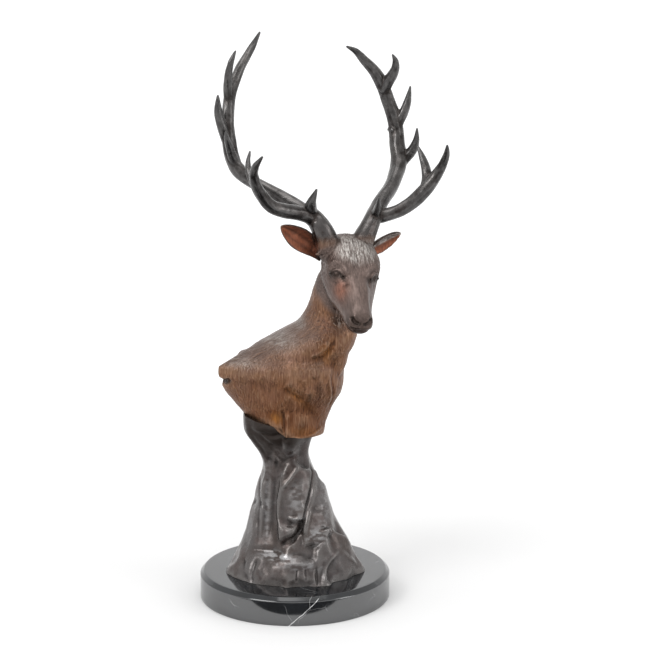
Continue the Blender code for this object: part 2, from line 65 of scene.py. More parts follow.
# The figure is laid out in units from the centre of the marble's top. The
# highest tine reaches FIGURE_UNITS above it, so a unit is about a millimetre.
FIGURE_UNITS = 672.2
TOP = BASE_HIGH[2]
UNIT = (BUST_HIGH[2] - TOP) / FIGURE_UNITS
GAP = (ROCK_LOW[2] - TOP) / UNIT
ORIGIN = np.array([0.0, 0.0, TOP])

# the sloping cut between rock and bust: its height at the middle and how far
# it falls to the right; the stump's flat end in front of the rock
SEAT_AT = 186.0
SEAT_FALL = math.tan(math.radians(14.5))
STUMP_END = 180.5

# the body's heading, the cut across its hind end, and the flat that runs up the
# back from that cut: a spot on it, the way it faces and its reach
BODY_HEADING = math.radians(65.0)
HIND_CUT = -80.5
HIND_FLAT = (-91.0, -7.0, 263.0), (-0.507, 0.124, 0.853), 60

# the head: point between the antler roots, and its attitude
HEAD_AT = (70.2, -30.0, 418.5)
HEAD_HEADING = math.radians(15.0)
HEAD_TILT = math.radians(7.5)
HEAD_PITCH = math.radians(40.0)

# the antlers are laid out from this point: outward, forward and up
CROWN_AT = (60.0, -30.0, 425.0)
CROWN_HEADING = math.radians(25.0)

# neck and shoulder as level slices: height, centre x and y, half length
# along the body, half thickness, heading of the slice, fullness
BUST_SECTIONS = [
    (151, 2, -26, 20, 18, 65, 2.4), (165, -1, -20, 32, 26, 65, 2.4),
    (177, -4, -14, 42, 32, 65, 2.3), (191, -8, -9, 48, 37, 65, 2.3),
    (204, -11, -4, 56, 40, 65, 2.3), (219, -15, -1, 68, 43, 65, 2.3),
    (231, -17, 1, 78, 45, 65, 2.4), (244, -23, 3, 87, 45, 65, 2.8),
    (257, -28, 4, 92, 45, 65, 3.1), (265, -24, 3, 88, 44, 64, 3.2),
    (271, -13, -1, 75, 43, 64, 3.0), (277, -3.5, -5.2, 68.5, 41, 64, 2.5),
    (285, 7.5, -9.2, 66.3, 40, 63, 2.1), (294, 17.3, -12.2, 60.5, 38, 62, 2.1),
    (307, 30.3, -14.5, 51.5, 34, 58, 2.1), (319, 40, -15.3, 40, 32, 50, 2.0),
    (332, 44, -16, 33, 29, 42, 2.0), (344, 48, -17, 31, 28.5, 34, 2.0),
    (356, 51, -18, 30, 28.5, 26, 2.0), (369, 54.5, -19, 29, 27.5, 20, 2.0),
    (381, 58.5, -20, 28, 26, 18, 2.0), (395, 62.5, -21, 25.5, 24, 18, 2.0),
    (407, 66, -22, 20, 19, 18, 2.0)]

# the head in cross section: distance along it, then aside and rise of the
# crown, the edge of the bridge, the orbit, the widest part, the side of the
# jaw, the jaw's lower edge and the underside
HEAD_SECTIONS = [
    (-24, 0, -10, 6, -11, 12, -15, 15, -22, 12, -29, 6, -33, 0, -34),
    (-14, 0, 1, 10, 0, 21, -6, 26, -17, 22, -31, 10, -42, 0, -44),
    (-2, 0, 7, 13, 5.5, 26, -1, 31, -13, 27, -32, 13, -49, 0, -52),
    (11, 0, 9, 15, 8, 28, 2, 32.5, -12, 29, -35, 14, -55, 0, -58),
    (25, 0, 8.5, 15, 7.5, 28, 2, 33, -11, 30, -36, 13, -59, 0, -62),
    (37, 0, 6.5, 14, 5.6, 26, 0.5, 33, -10, 30.5, -34, 13, -61, 0, -65),
    (49, 0, 3.5, 12, 2.8, 22, -3, 30, -14, 28.5, -34, 13, -59, 0, -63),
    (61, 0, 1.4, 11, 0.2, 18, -6, 26.5, -19, 26.5, -36, 12, -53, 0, -56),
    (77, 0, -0.8, 10, -2.2, 15, -8, 21.5, -19, 21.5, -33, 10, -42, 0, -44),
    (92, 0, -3, 9.4, -4.4, 13.4, -9.5, 18, -18, 18, -28, 8.5, -35.5, 0, -37),
    (105, 0, -4, 9, -5.2, 13.6, -10, 17, -17, 16, -26, 8, -32.5, 0, -34),
    (114, 0, -6.5, 8.6, -7.5, 13.6, -12, 16.2, -18, 14, -25.5, 7.5, -31, 0, -32),
    (121, 0, -11, 7.4, -12, 11.3, -14.5, 12.6, -18.5, 10.2, -24, 5, -27.8, 0, -28.5),
    (124.5, 0, -15, 5, -15.5, 7.5, -17, 8.2, -19.5, 6.6, -22.5, 3.5, -25, 0, -25.5)]

# near shoulder, stump of the foreleg and breast, swelled out of the slices:
# middle, radii and turn in degrees
BUST_MASSES = [((-2, -28, 255), (40, 20, 50), (0, 8, -25)),
               ((10, -30, 199), (21, 22, 56), (0, -4, -20)),
               ((44, -28, 283), (24, 20, 46), (0, 14, -30))]

# lines on each side of the face, first round and second: points (distance
# along the head, place round it as for head_skin), width, depth
ORBIT_LINES = [([(53, 1.3), (61, 1.4), (70, 1.8)], 5.0, 1.5),
               ([(62, 2.3), (54, 2.85), (43, 3.0)], 4.5, 1.4),
               ([(56, 0.85), (47, 1.2), (38, 1.65), (32, 2.3)], 4.6, -2.4)]
CHEEK_BONE = [(62, 3.6), (42, 3.75), (20, 3.5), (2, 3.3)], 6.0, -1.6
JAW_EDGE = [(4, 5.2), (28, 5.0), (46, 4.9), (64, 4.8), (84, 4.5)], 4.0, -1.2
BRIDGE_EDGE = [(60, 1.1), (82, 1.1), (104, 1.1)]
CHEEK_LINES = [([(70, 2.2), (84, 2.1), (106, 2.1)], 6.0, 0.35),
               ([(58, 3.3), (78, 3.1), (98, 3.2)], 6.0, -0.6),
               ([(48, 4.3), (66, 4.1), (88, 4.1)], 5.0, 0.7)]
NOSTRIL_RIMS = [([(109, 1.3), (114, 0.9), (118, 0.3)], 2.6, -1.1),
                ([(109, 1.9), (115, 2.0), (120.5, 1.7)], 2.6, -1.3)]
NOSTRIL = [(113, 1.55), (116.5, 1.4), (119.5, 1.1), (120.8, 0.7), (121, 0.4)]
LIPS = [([(123.5, 2.6), (118, 3.0), (108, 3.2), (97, 3.1)], 3.6, -0.5),
        ([(122.5, 4.8), (113, 4.7), (102, 4.6)], 3.6, -0.5)]
MOUTH = [(123.4, 3.0), (120.5, 3.5), (113, 3.8), (102, 3.7)]
TEAR_GROOVE = [(55, 1.8), (59, 1.65), (63, 1.7)], 2.0, 1.8

# the eye: its slit and lids as such points, the lids' radii, and how much
# further round the right eye's parts sit
EYE_RADIUS = 5.7
EYE_SLIT = [(57, 1.75), (53.5, 1.88), (50.5, 2.1), (48.5, 2.4), (47, 2.72)]
UPPER_LID = [(56.5, 1.64), (52.5, 1.62), (48.2, 1.78), (45.6, 2.15), (46, 2.8)]
LOWER_LID = [(56.5, 1.64), (55, 2.0), (52.5, 2.4), (49.5, 2.72), (46, 2.8)]
UPPER_RADII = (0.9, 1.9, 2.3, 1.9, 0.9)
LOWER_RADII = (0.7, 0.8, 0.9, 0.8, 0.7)
EYE_SHIFT = {-1: 0.0, 1: 0.1}

# one ear: share of its length, half width, depth of the bowl
EAR_SECTIONS = [(0.0, 9, 5), (0.15, 10, 6.5), (0.3, 12, 7), (0.45, 14, 7),
                (0.6, 14, 6), (0.75, 11.5, 5), (0.88, 7.5, 3), (0.97, 3.2, 1), (1.0, 1.2, 0)]

# antler stations from the crown: outward, forward, up and radius
NEAR_ANTLER = {
    "beam": [(13, -2, -34, 8), (18, 1, -16, 14.5), (23, -1, 1, 14), (29, -4, 15, 12.3),
             (35.5, -12, 26, 10.6), (44, -22, 33, 9.2), (55, -34, 41.5, 9),
             (68, -46, 50.5, 8.5), (82, -55, 59.3, 8), (96.5, -64, 68.5, 7.9),
             (107.5, -71, 79.5, 8.6), (113, -76, 95, 9), (114.5, -81, 113, 8.8),
             (114.2, -86, 132, 8.2), (112, -90, 150, 7.8), (107, -96, 169, 7.4),
             (99, -101, 185, 6.7), (90, -104, 202, 6), (79, -110, 216, 5.2),
             (67, -116, 231, 4), (59, -116, 245, 1.6)],
    "bez": [(34, -12, 26, 9), (40, -6, 33, 8.2), (44, 4, 43, 6.2), (42, 15, 60, 1.6)],
    "brow": [(32, -10, 19, 9), (44, -7, 27, 9), (58, -6, 31.5, 9.1), (77, -3, 35.3, 8.8),
             (94, 0, 41.5, 8.1), (108, 4, 55, 7.3), (117, 9, 68, 6.6), (122, 14, 80, 5.6),
             (124, 26, 91, 4.2), (121, 38, 102, 1.5)],
    "brow_fork": [(106, 2, 52, 6), (114, -3, 67, 5.2), (118, -8, 79, 4.2),
                  (117, -15, 92, 3.2), (112, -21, 105, 1.3)],
    "trez": [(104, -70, 80, 7), (112, -70, 90, 6.2), (121, -64, 108, 4.8),
             (126, -59, 118, 3.6), (129, -55, 127, 1.3)],
    "upper": [(111, -78, 100, 7), (116, -82, 115, 7.2), (124.5, -80, 134, 6.4),
              (129.5, -78, 151, 5.2), (130.5, -76, 169, 1.7)],
    "crown_tine": [(111, -90, 148, 6.4), (111, -92, 168, 5.6), (113, -88, 184, 5.2),
                   (113, -83, 200, 4.4), (110, -80, 213, 3.2), (106, -79, 222, 1.4)],
}
FAR_ANTLER = {
    "beam": [(14, -2, -36, 8), (20, 1, -18, 13.6), (28.5, -1, -3, 13.4), (37.5, -4, 10, 11.8),
             (49, -12, 25, 10.4), (60.5, -22, 36, 9.6), (71, -30, 44, 9.3),
             (83, -39, 52, 9.2), (93, -48, 60, 9.2), (102, -58, 69, 9.8),
             (109, -66, 77, 10.4), (114, -73, 90, 10.4), (115, -80, 106, 10),
             (116, -86, 126, 9.4), (114, -90, 143, 9.2), (110, -95, 159, 8.8),
             (106, -99, 174, 8.5), (100, -101, 187, 8.3), (92, -105, 200, 7.1),
             (82, -110, 212, 5.8), (72.5, -115, 222.8, 4), (61, -116, 228.2, 1.6)],
    "bez": [(42, -12, 16, 7), (45, -4, 25, 6), (44, 5, 33, 4.6), (41, 15, 47, 1.6)],
    "brow": [(44, -12, 21, 7.5), (51, -10, 21.2, 8), (64, -6, 24.4, 8.2), (77, -4, 28.4, 8.2),
             (93.5, 0, 38.3, 8.6), (110.5, 4, 54.3, 8.6), (122, 9, 70.5, 7.4), (127.3, 17, 85.5, 5.5),
             (126.5, 28, 99.5, 4), (121.5, 38, 109.5, 1.6)],
    "brow_fork": [(112, 2, 55, 7.4), (117.5, -4, 68, 6.8), (118, -9, 79, 5.8),
                  (116, -14, 92, 4.4), (112.5, -21, 106.5, 1.5)],
    "trez": [(108, -68, 76, 8.8), (118, -71, 86, 8), (128, -64, 98, 6.4),
             (131, -59, 111, 4.4), (130, -55, 126, 1.5)],
    "upper": [(112, -86, 120, 8.4), (118, -86, 132, 8), (124, -82, 144, 6.4),
              (129, -79, 160, 4.8), (131, -76, 178, 1.5)],
    "crown_tine": [(103, -99, 172, 8), (107.5, -94, 183, 7.8), (112, -88, 193.5, 6.6),
                   (113.8, -84, 202.3, 5.2), (112, -81, 211, 3.8), (107, -79, 218, 1.5)],
}

# the rock: height, centre across and in depth, half width across and in depth
ROCK_SECTIONS = [
    (-5, -1, -2, 86, 84), (8, -1, -2, 82, 79), (22, -1, -1, 76, 72),
    (35, 0, 0, 68, 64), (48, -2, 2, 62, 58), (61, -4, 3, 57, 53),
    (74, -6, 4, 52, 49), (87, -7, 4, 47, 46), (100, -6, 4, 44, 43),
    (113, -7, 4, 40, 40), (126, -8, 3, 33.5, 36), (139, -10.5, 2, 30, 33),
    (152, -14, 1, 31.5, 32), (165, -17, 0, 37, 35), (178, -19.5, -2, 43.5, 38),
    (191, -20, -2, 45, 39), (227, -18, 0, 43, 37)]

# the masses of the rock that stand out, each the block around its corners
ROCK_BLOCKS = [
    [(6, -32, 140), (19, -22, 135), (35, 0, 126), (10, -46, 88), (34, -36, 89),
     (39, -5, 85), (14, -62, 43), (52, -38, 45), (58, 0, 41), (10, 0, 25)],
    [(24, -50, 61), (46, -46, 69), (68, -24, 49), (84, -18, -1), (66, -56, -2),
     (40, -76, -3), (30, -68, 27), (74, -32, 23), (20, -20, -3)],
    [(-64, -54, 13), (-56, -50, 23), (-22, -72, 25), (8, -76, 20), (20, -66, 23),
     (-30, -60, 29), (-66, -58, -3), (-34, -80, -3), (14, -88, -3), (28, -80, -3)],
    [(-14, -31, 148), (8, -31, 146), (14, -47, 92), (-2, -61, 57), (-20, -59, 47),
     (-24, -47, 88), (-10, -20, 115), (0, -20, 55)],
    [(-62, -22, 201), (-48, -38, 205), (-10, -44, 197), (-8, -38, 183), (-26, -42, 181),
     (-46, -38, 181), (-60, -16, 187), (-20, 0, 175), (-20, 0, 205)]]

# chisel marks on the rock's front: across and height of the spot, the way
# the flat faces (turned to the right, tipped up), its reach and its depth
ROCK_FLATS = [
    (60, 14, 28, 6, 27, 2.0), (60, 47, 38, 32, 24, 2.0), (0, 96, -12, 8, 34, 1.0),
    (28, 104, 30, 10, 24, 1.2), (-30, 12, -16, 4, 28, 1.2), (8, 11, 10, 2, 24, 1.2),
    (-64, 14, -48, 12, 24, 1.4), (-34, 184, -10, -14, 24, 1.2)]

# fewer and larger marks round the sides and back: bearing from the viewer
# anticlockwise, height, tip, reach and depth
ROCK_BACK_FLATS = [
    (95, 20, 20, 30, 2.5), (120, 70, 14, 30, 2.5), (150, 26, 22, 32, 3.0),
    (165, 92, 8, 28, 2.2), (190, 48, 18, 34, 3.0), (215, 108, 4, 24, 2.0),
    (232, 22, 20, 32, 3.0), (255, 66, 12, 28, 2.4), (280, 30, 22, 26, 2.2),
    (100, 125, 2, 22, 2.0), (200, 150, -10, 24, 2.0), (140, 168, -14, 24, 2.0),
    (250, 160, -14, 22, 2.0)]

# grooves (positive depth) and ridges (negative) on the rock's front:
# points across and height, width, depth
ROCK_LINES = [
    ([(22, 148), (22, 113), (18, 97), (13, 79), (8, 64), (0, 52), (-15, 41)], 3.4, 3.0),
    ([(27, 124), (26, 112), (23, 97), (18, 79), (13, 64), (6, 50)], 5.0, -1.4),
    ([(-44, 128), (-46, 90), (-48, 40)], 5.0, 1.6), ([(-34, 138), (-36, 90), (-40, 40)], 5.0, 1.5),
    ([(-39, 132), (-41, 90), (-44, 44)], 4.0, -1.0), ([(-24, 134), (-27, 95), (-31, 48)], 5.0, 1.6),
    ([(-18, 122), (-20, 94), (-25, 62)], 5.0, -1.2), ([(-30, 138), (-32, 92), (-35, 46)], 4.2, -0.7),
    ([(-38, 156), (-22, 136), (-2, 150)], 10.0, 2.2), ([(-26, 143), (-10, 139)], 9.0, 2.0),
    ([(8, 142), (-4, 126), (-18, 110)], 4.0, -1.6), ([(13, 136), (1, 119), (-12, 104)], 7.0, 1.4),
    ([(-10, 79), (3, 77.5), (14, 79.5)], 3.0, -1.6), ([(-10, 72), (3, 70.5), (14, 72)], 5.0, 1.4),
    ([(-18, 43), (-9, 53), (5, 58)], 6.0, 2.2), ([(8, 42), (28, 46), (47, 58)], 6.0, 2.0),
    ([(58, 39), (46, 28), (41, 20), (37, -2)], 3.6, -1.6), ([(58, 39), (69, 26), (84, 9)], 3.6, -1.6),
    ([(40, 30), (33, 12), (31, -2)], 6.0, 2.0),
    ([(-54, 28), (-22, 29.5), (-2, 26), (14, 26), (34, 25)], 5.4, -1.3),
    ([(-8, 39), (11, 36), (28, 30)], 7.0, 2.2), ([(-56, 36), (-30, 38), (-6, 40)], 7.0, 1.8),
    ([(4, 23), (3, 6)], 2.4, 1.2), ([(14, 23), (15, 6)], 2.4, 1.0), ([(28, 24), (29, -2)], 3.0, 1.8),
    ([(-64, 28), (-57, -4)], 5.0, 2.0), ([(-46, 31), (-53, 10), (-51, -4)], 5.0, 2.0),
    ([(-66, 191), (-44, 182), (-26, 180), (-2, 186)], 5.0, 2.0),
    ([(-48, 184), (-31, 169), (-14, 162)], 5.0, 1.4), ([(-56, 182), (-42, 162), (-34, 146)], 5.0, 1.2),
    ([(-32, 169), (-19, 152), (-8, 140)], 6.0, 1.2), ([(-4, 182), (-1, 160), (5, 136)], 5.0, -1.0)]

# clefts down the rock's back and left side, which the viewer doesn't see:
# points in all three directions, width, depth
ROCK_CLEFTS = [
    ([(-20, 40, 135), (-26, 46, 95), (-20, 58, 55), (-24, 74, 15)], 5.0, 5.0),
    ([(16, 36, 141), (26, 42, 95), (34, 56, 49), (30, 74, 15)], 5.0, 5.0),
    ([(-44, 12, 125), (-52, 16, 75), (-70, 24, 25)], 4.0, 4.0),
    ([(-38, -36, 92), (-50, -8, 88), (-44, 22, 90)], 8.0, 3.0)]

# painted highlights: pale patches on the rock's front that stand in for the shine
# of light on it: across, height, half width, half height and share
ROCK_PAINTED_HIGHLIGHTS = [
    (-19, 31, 18, 6, 1.0), (4, 78, 7, 3.5, 1.0), (28, 57, 12, 8, 0.8), (3, 100, 9, 17, 0.45),
    (-34, 84, 3, 40, 0.35), (38, 90, 6, 24, 0.3), (14, 22, 16, 4, 0.5), (-4, 156, 10, 8, 0.25)]

# the level middle from which the bearings on the rock are taken
ROCK_AXIS = (-8.0, 2.0)

# grooves and ridges on the neck and shoulder, as on the rock's front
BUST_LINES = [
    ([(-98, 240), (-89, 242)], 5.5, 9.0), ([(-94, 241), (-85, 243.5), (-78, 246)], 3.6, 5.0),
    ([(-12, 243), (0, 234), (12, 226)], 6.0, 1.5), ([(-10, 252), (2, 243), (14, 235)], 8.0, -1.0),
    ([(45, 304), (40, 294), (31, 287), (20, 281)], 3.6, -1.7),
    ([(50, 306), (46, 292), (38, 282), (26, 275)], 6.0, 3.0),
    ([(46, 262), (50, 244), (50, 229), (44, 208)], 4.0, 2.4),
    ([(42, 266), (45, 247), (46, 230), (40, 208)], 3.0, -1.3),
    ([(-13, 216), (-13, 198), (-12, 178)], 3.6, 2.8), ([(-7, 212), (-8, 198), (-6, 184)], 5.0, -1.0),
    ([(-12, 184), (8, 183), (25, 183), (38, 188)], 3.4, -1.6),
    ([(34, 380), (36, 350), (32, 320)], 7.0, -1.2)]

# soft swellings seen from the front: across, height, half width, half
# height, rise
BUST_SWELLS = [(20, 236, 9, 18, 2.6), (-42, 262, 26, 20, 1.6), (-8, 272, 16, 22, 1.4),
               (24, 300, 17, 18, 3.0), (10, 205, 15, 16, 1.8), (-32, 296, 18, 9, 1.2),
               (34, 250, 6, 20, 1.6)]

# the hair: units between strokes, and their depth by height on the body and
# by distance along the head
HAIR_SPACING = 2.2
BODY_HAIR = [180, 200, 260, 300, 330, 400], [0.22, 0.26, 0.30, 0.28, 0.26, 0.24]
HEAD_HAIR = [-20, 5, 42, 52, 75, 100], [0.24, 0.34, 0.22, 0.07, 0.05, 0.02]

# soft spots of the stag's patina seen from the front: across, height, half
# width, half height, share
ORANGE_FOLD = [(-20, 204, 10, 9, 1.0)]
ORANGE_THROAT = [(42, 305, 12, 26, 0.7)]
WITHERS_RUBBED = [(-20, 300, 24, 12, 1.0), (-64, 268, 24, 7, 0.8), (8, 320, 7, 7, 0.9)]
OCHRE_SPOTS = [(-21, 203, 7, 7, 0.9), (41, 286, 8, 11, 0.75), (14, 188, 20, 6, 0.4)]


# edges that turn by more than this are left sharp
SHARP_FROM = math.radians(62)

# the marble's edge in metres: height and width of the chamfer, and the radius
# that eases each corner
CHAMFER = 0.0048
EASE = 0.0008


# numbers and curves

def axes(heading, tilt=0.0, pitch=0.0):
    """Outward (to the viewer's right), forward and up, then tilted and pitched."""
    out = np.array([math.cos(heading), math.sin(heading), 0.0])
    fwd = np.array([math.sin(heading), -math.cos(heading), 0.0])
    up = np.array([0.0, 0.0, 1.0])
    side = math.cos(tilt) * out - math.sin(tilt) * up
    lift = math.cos(tilt) * up + math.sin(tilt) * out
    along = math.cos(pitch) * fwd - math.sin(pitch) * lift
    crown = math.sin(pitch) * fwd + math.cos(pitch) * lift
    return side, along, crown


def spline(keys, values, at):
    """A cubic between keys, with the slope at each key from its neighbours."""
    keys = np.asarray(keys, float)
    values = np.asarray(values, float)
    at = np.clip(np.asarray(at, float), keys[0], keys[-1])
    slope = np.gradient(values, keys, axis=0)
    i = np.clip(np.searchsorted(keys, at, side="right") - 1, 0, len(keys) - 2)
    h = keys[i + 1] - keys[i]
    t = (at - keys[i]) / h
    if values.ndim > 1:
        t, h = t[:, None], h[:, None]
    a, b, m, n = values[i], values[i + 1], slope[i], slope[i + 1]
    return ((2 * t**3 - 3 * t**2 + 1) * a + (t**3 - 2 * t**2 + t) * h * m
            + (3 * t**2 - 2 * t**3) * b + (t**3 - t**2) * h * n)


def rows_at(table, at):
    """The rows of a table, whose first column is the key, splined to new keys."""
    return spline([row[0] for row in table], [row[1:] for row in table], at)


def smoothstep(low, high, x):
    """0 below low, 1 above high, and 3t^2 - 2t^3 between."""
    t = np.clip((x - low) / (high - low), 0.0, 1.0)
    return t * t * (3 - 2 * t)


def unit(v):
    v = np.asarray(v, float)
    return v / np.maximum(np.linalg.norm(v, axis=-1, keepdims=True), 1e-12)


def hashed(cell, seed):
    """A repeatable number from 0 to 1 for each whole-number cell: its three
    numbers times odd constants, mixed by exclusive-or and shifts."""
    c = cell.astype(np.uint32)
    h = (c[:, 0] * np.uint32(374761393)) ^ (c[:, 1] * np.uint32(668265263))
    h ^= (c[:, 2] * np.uint32(2246822519)) ^ np.uint32((seed * 3266489917) & 0xFFFFFFFF)
    h = (h ^ (h >> np.uint32(15))) * np.uint32(2654435761)
    h = (h ^ (h >> np.uint32(13))) * np.uint32(3266489917)
    return ((h >> np.uint32(8)) & np.uint32(0xFFFF)).astype(float) / 65535.0


def noise(p, seed=0):
    """Values from -1 to 1: hashed numbers at the corners of unit cells, joined
    by 3t^2 - 2t^3 along each axis."""
    cell = np.floor(p).astype(np.int64)
    t = p - cell
    t = t * t * (3 - 2 * t)
    total = np.zeros(len(p))
    for corner in np.ndindex(2, 2, 2):
        share = np.prod(np.where(np.array(corner), t, 1 - t), axis=1)
        total += share * hashed(cell + np.array(corner), seed)
    return 2 * total - 1


def layered(p, layers, seed=0):
    """Noise added to itself at doubling fineness and halving strength."""
    return sum(noise(p * 2.0**k + 17.0 * k, seed + k) / 2.0**k for k in range(layers))


def spots(x, z, table):
    """The sum of soft ovals seen from the front: share times exp(-u^2 - v^2),
    with u and v the way from the middle in half widths and half heights."""
    return sum(share * np.exp(-((x - across) / wide) ** 2 - ((z - up) / high) ** 2)
               for across, up, wide, high, share in table)


def hair(p, way, seed=0):
    """Combed strokes in the direction given: narrow ridges where a noise drawn
    out that way passes through nought, narrow grooves where another does."""
    way = unit(way)
    e = unit(np.cross(way, [0.3, 0.9, 0.1]))
    q = np.stack([p @ e, p @ np.cross(way, e), p @ way], 1)
    q[:, :2] += 0.3 * noise(q * np.array([0.2, 0.2, 0.1]), seed + 5)[:, None]
    n = noise(q * np.array([1.0, 1.0, 0.10]), seed)
    m = noise(q * np.array([1.3, 1.3, 0.14]), seed + 1)
    return 0.8 * np.exp(-(n / 0.14) ** 2) - 0.7 * np.exp(-(m / 0.14) ** 2)


# surfaces as closed grids: (points, triangles), in units

def closed_grid(points):
    """Rows of points, each row a ring. Ring r is joined to ring r + 1, and the
    two end rings are closed by fans to their means."""
    rows, cols, _ = points.shape
    verts = np.concatenate([points.reshape(-1, 3), points[:1].mean(1), points[-1:].mean(1)])
    r, c = np.meshgrid(np.arange(rows - 1), np.arange(cols), indexing="ij")
    a, b = (r * cols + c).ravel(), (r * cols + (c + 1) % cols).ravel()
    c = np.arange(cols)
    d = (c + 1) % cols
    last = (rows - 1) * cols
    low, high = np.full(cols, rows * cols), np.full(cols, rows * cols + 1)
    tris = np.concatenate([
        np.stack([a, b, b + cols], 1), np.stack([a, b + cols, a + cols], 1),
        np.stack([low, d, c], 1), np.stack([high, last + c, last + d], 1)])
    p = verts[tris]
    if np.einsum("ij,ij->i", p[:, 0], np.cross(p[:, 1], p[:, 2])).sum() < 0:
        tris = tris[:, ::-1]
    return verts, tris


def ellipsoid(centre, radii, turn=(0.0, 0.0, 0.0), rows=40, cols=56):
    """Centre plus the turned vector (rx sin v cos u, ry sin v sin u, rz cos v)."""
    v, u = np.meshgrid(np.linspace(0.02, math.pi - 0.02, rows),
                       np.linspace(0, 2 * math.pi, cols, endpoint=False), indexing="ij")
    ball = np.stack([np.sin(v) * np.cos(u), np.sin(v) * np.sin(u), np.cos(v)], -1) * radii
    spin = np.array(Euler([math.radians(a) for a in turn]).to_matrix())
    return closed_grid(ball @ spin.T + np.asarray(centre, float))


def block(corners):
    """The convex block around a few corner points."""
    bm = bmesh.new()
    for p in corners:
        bm.verts.new(p)
    bmesh.ops.convex_hull(bm, input=bm.verts)
    bmesh.ops.triangulate(bm, faces=bm.faces)
    bmesh.ops.recalc_face_normals(bm, faces=bm.faces)
    bm.verts.index_update()
    verts = np.array([v.co[:] for v in bm.verts])
    tris = np.array([[v.index for v in f.verts] for f in bm.faces])
    bm.free()
    return verts, tris


def course(stations, steps=7):
    """A smooth curve through the stations (x, y, z, radius), with each step's
    direction and a cross axis that is carried along it without twist."""
    rows = np.asarray(stations, float)
    keys = np.concatenate([[0.0], np.cumsum(np.linalg.norm(np.diff(rows[:, :3], axis=0), axis=1))])
    at = np.linspace(0.0, keys[-1], steps * (len(rows) - 1) + 1)
    line = spline(keys, rows, at)
    way = unit(np.gradient(line[:, :3], axis=0))
    cross = np.empty_like(way)
    cross[0] = unit(np.cross(way[0], [0.31, 0.83, 0.47]))
    for i in range(1, len(way)):
        cross[i] = unit(cross[i - 1] - cross[i - 1] @ way[i] * way[i])
    return line, way, cross, at


def bar(stations, cols=30):
    """A round bar: rings of the course's radius square to its direction, with
    a domed end."""
    line, way, cross, _ = course(stations)
    turn = np.linspace(0, 2 * math.pi, cols, endpoint=False)[None, :, None]
    third = np.cross(way, cross)
    ring = np.cos(turn) * cross[:, None] + np.sin(turn) * third[:, None]
    rings = line[:, None, :3] + ring * line[:, None, 3:]
    tip = [line[-1, :3] + way[-1] * line[-1, 3] * math.sin(a) + ring[-1] * line[-1, 3] * math.cos(a)
           for a in (0.5, 1.0, 1.4)]
    return closed_grid(np.concatenate([rings, tip]))


def torso():
    """Level slices, each a rounded oblong: its two half widths times the
    powers 2 / fullness of the cosine and sine of the way round."""
    z = np.linspace(BUST_SECTIONS[0][0], BUST_SECTIONS[-1][0], 150)
    cx, cy, long, thick, heading, full = rows_at(BUST_SECTIONS, z).T[:, :, None]
    u = np.linspace(0, 2 * math.pi, 128, endpoint=False)[None, :]
    a = np.sign(np.cos(u)) * np.abs(np.cos(u)) ** (2 / full) * long
    b = np.sign(np.sin(u)) * np.abs(np.sin(u)) ** (2 / full) * thick
    h = np.radians(heading)
    x = cx + a * np.sin(h) + b * np.cos(h)
    y = cy - a * np.cos(h) + b * np.sin(h)
    return closed_grid(np.stack([x, y, np.broadcast_to(z[:, None], x.shape)], -1))


def head_point(ahead, aside, rise):
    side, along, crown = axes(HEAD_HEADING, HEAD_TILT, HEAD_PITCH)
    return (np.array(HEAD_AT) + np.multiply.outer(ahead, along)
            + np.multiply.outer(aside, side) + np.multiply.outer(rise, crown))


def head_place(co):
    """Distance along the head, aside and rise of each point."""
    side, along, crown = axes(HEAD_HEADING, HEAD_TILT, HEAD_PITCH)
    p = co - np.array(HEAD_AT)
    return p @ along, p @ side, p @ crown


def head_skin(ahead, k):
    """Aside and rise of the head's skin at a distance along it. k runs from 0
    at the crown over the right cheek to 6 under the jaw and 12 back at the
    crown; a closed Catmull-Rom curve joins the mirrored section points."""
    half = rows_at(HEAD_SECTIONS, ahead).reshape(-1, 7, 2)
    ring = np.concatenate([half, half[:, 5:0:-1] * np.array([-1.0, 1.0])], axis=1)
    k = np.mod(k, 12.0)
    i = np.floor(k).astype(int)
    t = (k - i)[:, None]
    row = np.arange(len(ring))
    p0, p1, p2, p3 = (ring[row, (i + d) % 12] for d in (-1, 0, 1, 2))
    return 0.5 * (2 * p1 + (p2 - p0) * t + (2 * p0 - 5 * p1 + 4 * p2 - p3) * t**2
                  + (3 * p1 - p0 - 3 * p2 + p3) * t**3)


def head():
    """head_skin at every distance along the head and all the way round."""
    a, k = np.meshgrid(np.linspace(HEAD_SECTIONS[0][0], HEAD_SECTIONS[-1][0], 120),
                       np.linspace(0, 12, 120, endpoint=False), indexing="ij")
    skin = head_skin(a.ravel(), k.ravel())
    return closed_grid(head_point(a.ravel(), skin[:, 0], skin[:, 1]).reshape(*a.shape, 3))


def on_face(ahead, k, hand, lift=0.0):
    """A point of the head's skin on the right (hand 1) or left (-1), lifted
    along the outward direction in the plane of the section."""
    k = k if hand > 0 else 12.0 - k
    at = np.array([ahead, ahead, ahead], float)
    skin = head_skin(at, np.array([k - 0.05, k, k + 0.05]))
    run = unit(skin[2] - skin[0])
    out = np.array([-run[1], run[0]])
    spot = skin[1] + out * lift
    return head_point(ahead, spot[0], spot[1])


def face_path(points, hand, lift=0.0):
    return np.array([on_face(a, k, hand, lift) for a, k in points])


def crown_point(s, t, h):
    out, fwd, up = axes(CROWN_HEADING)
    return np.array(CROWN_AT) + s * out + t * fwd + h * up


def antler_stations(table, hand):
    return {name: [(*crown_point(hand * s, t, h), r) for s, t, h, r in rows]
            for name, rows in table.items()}


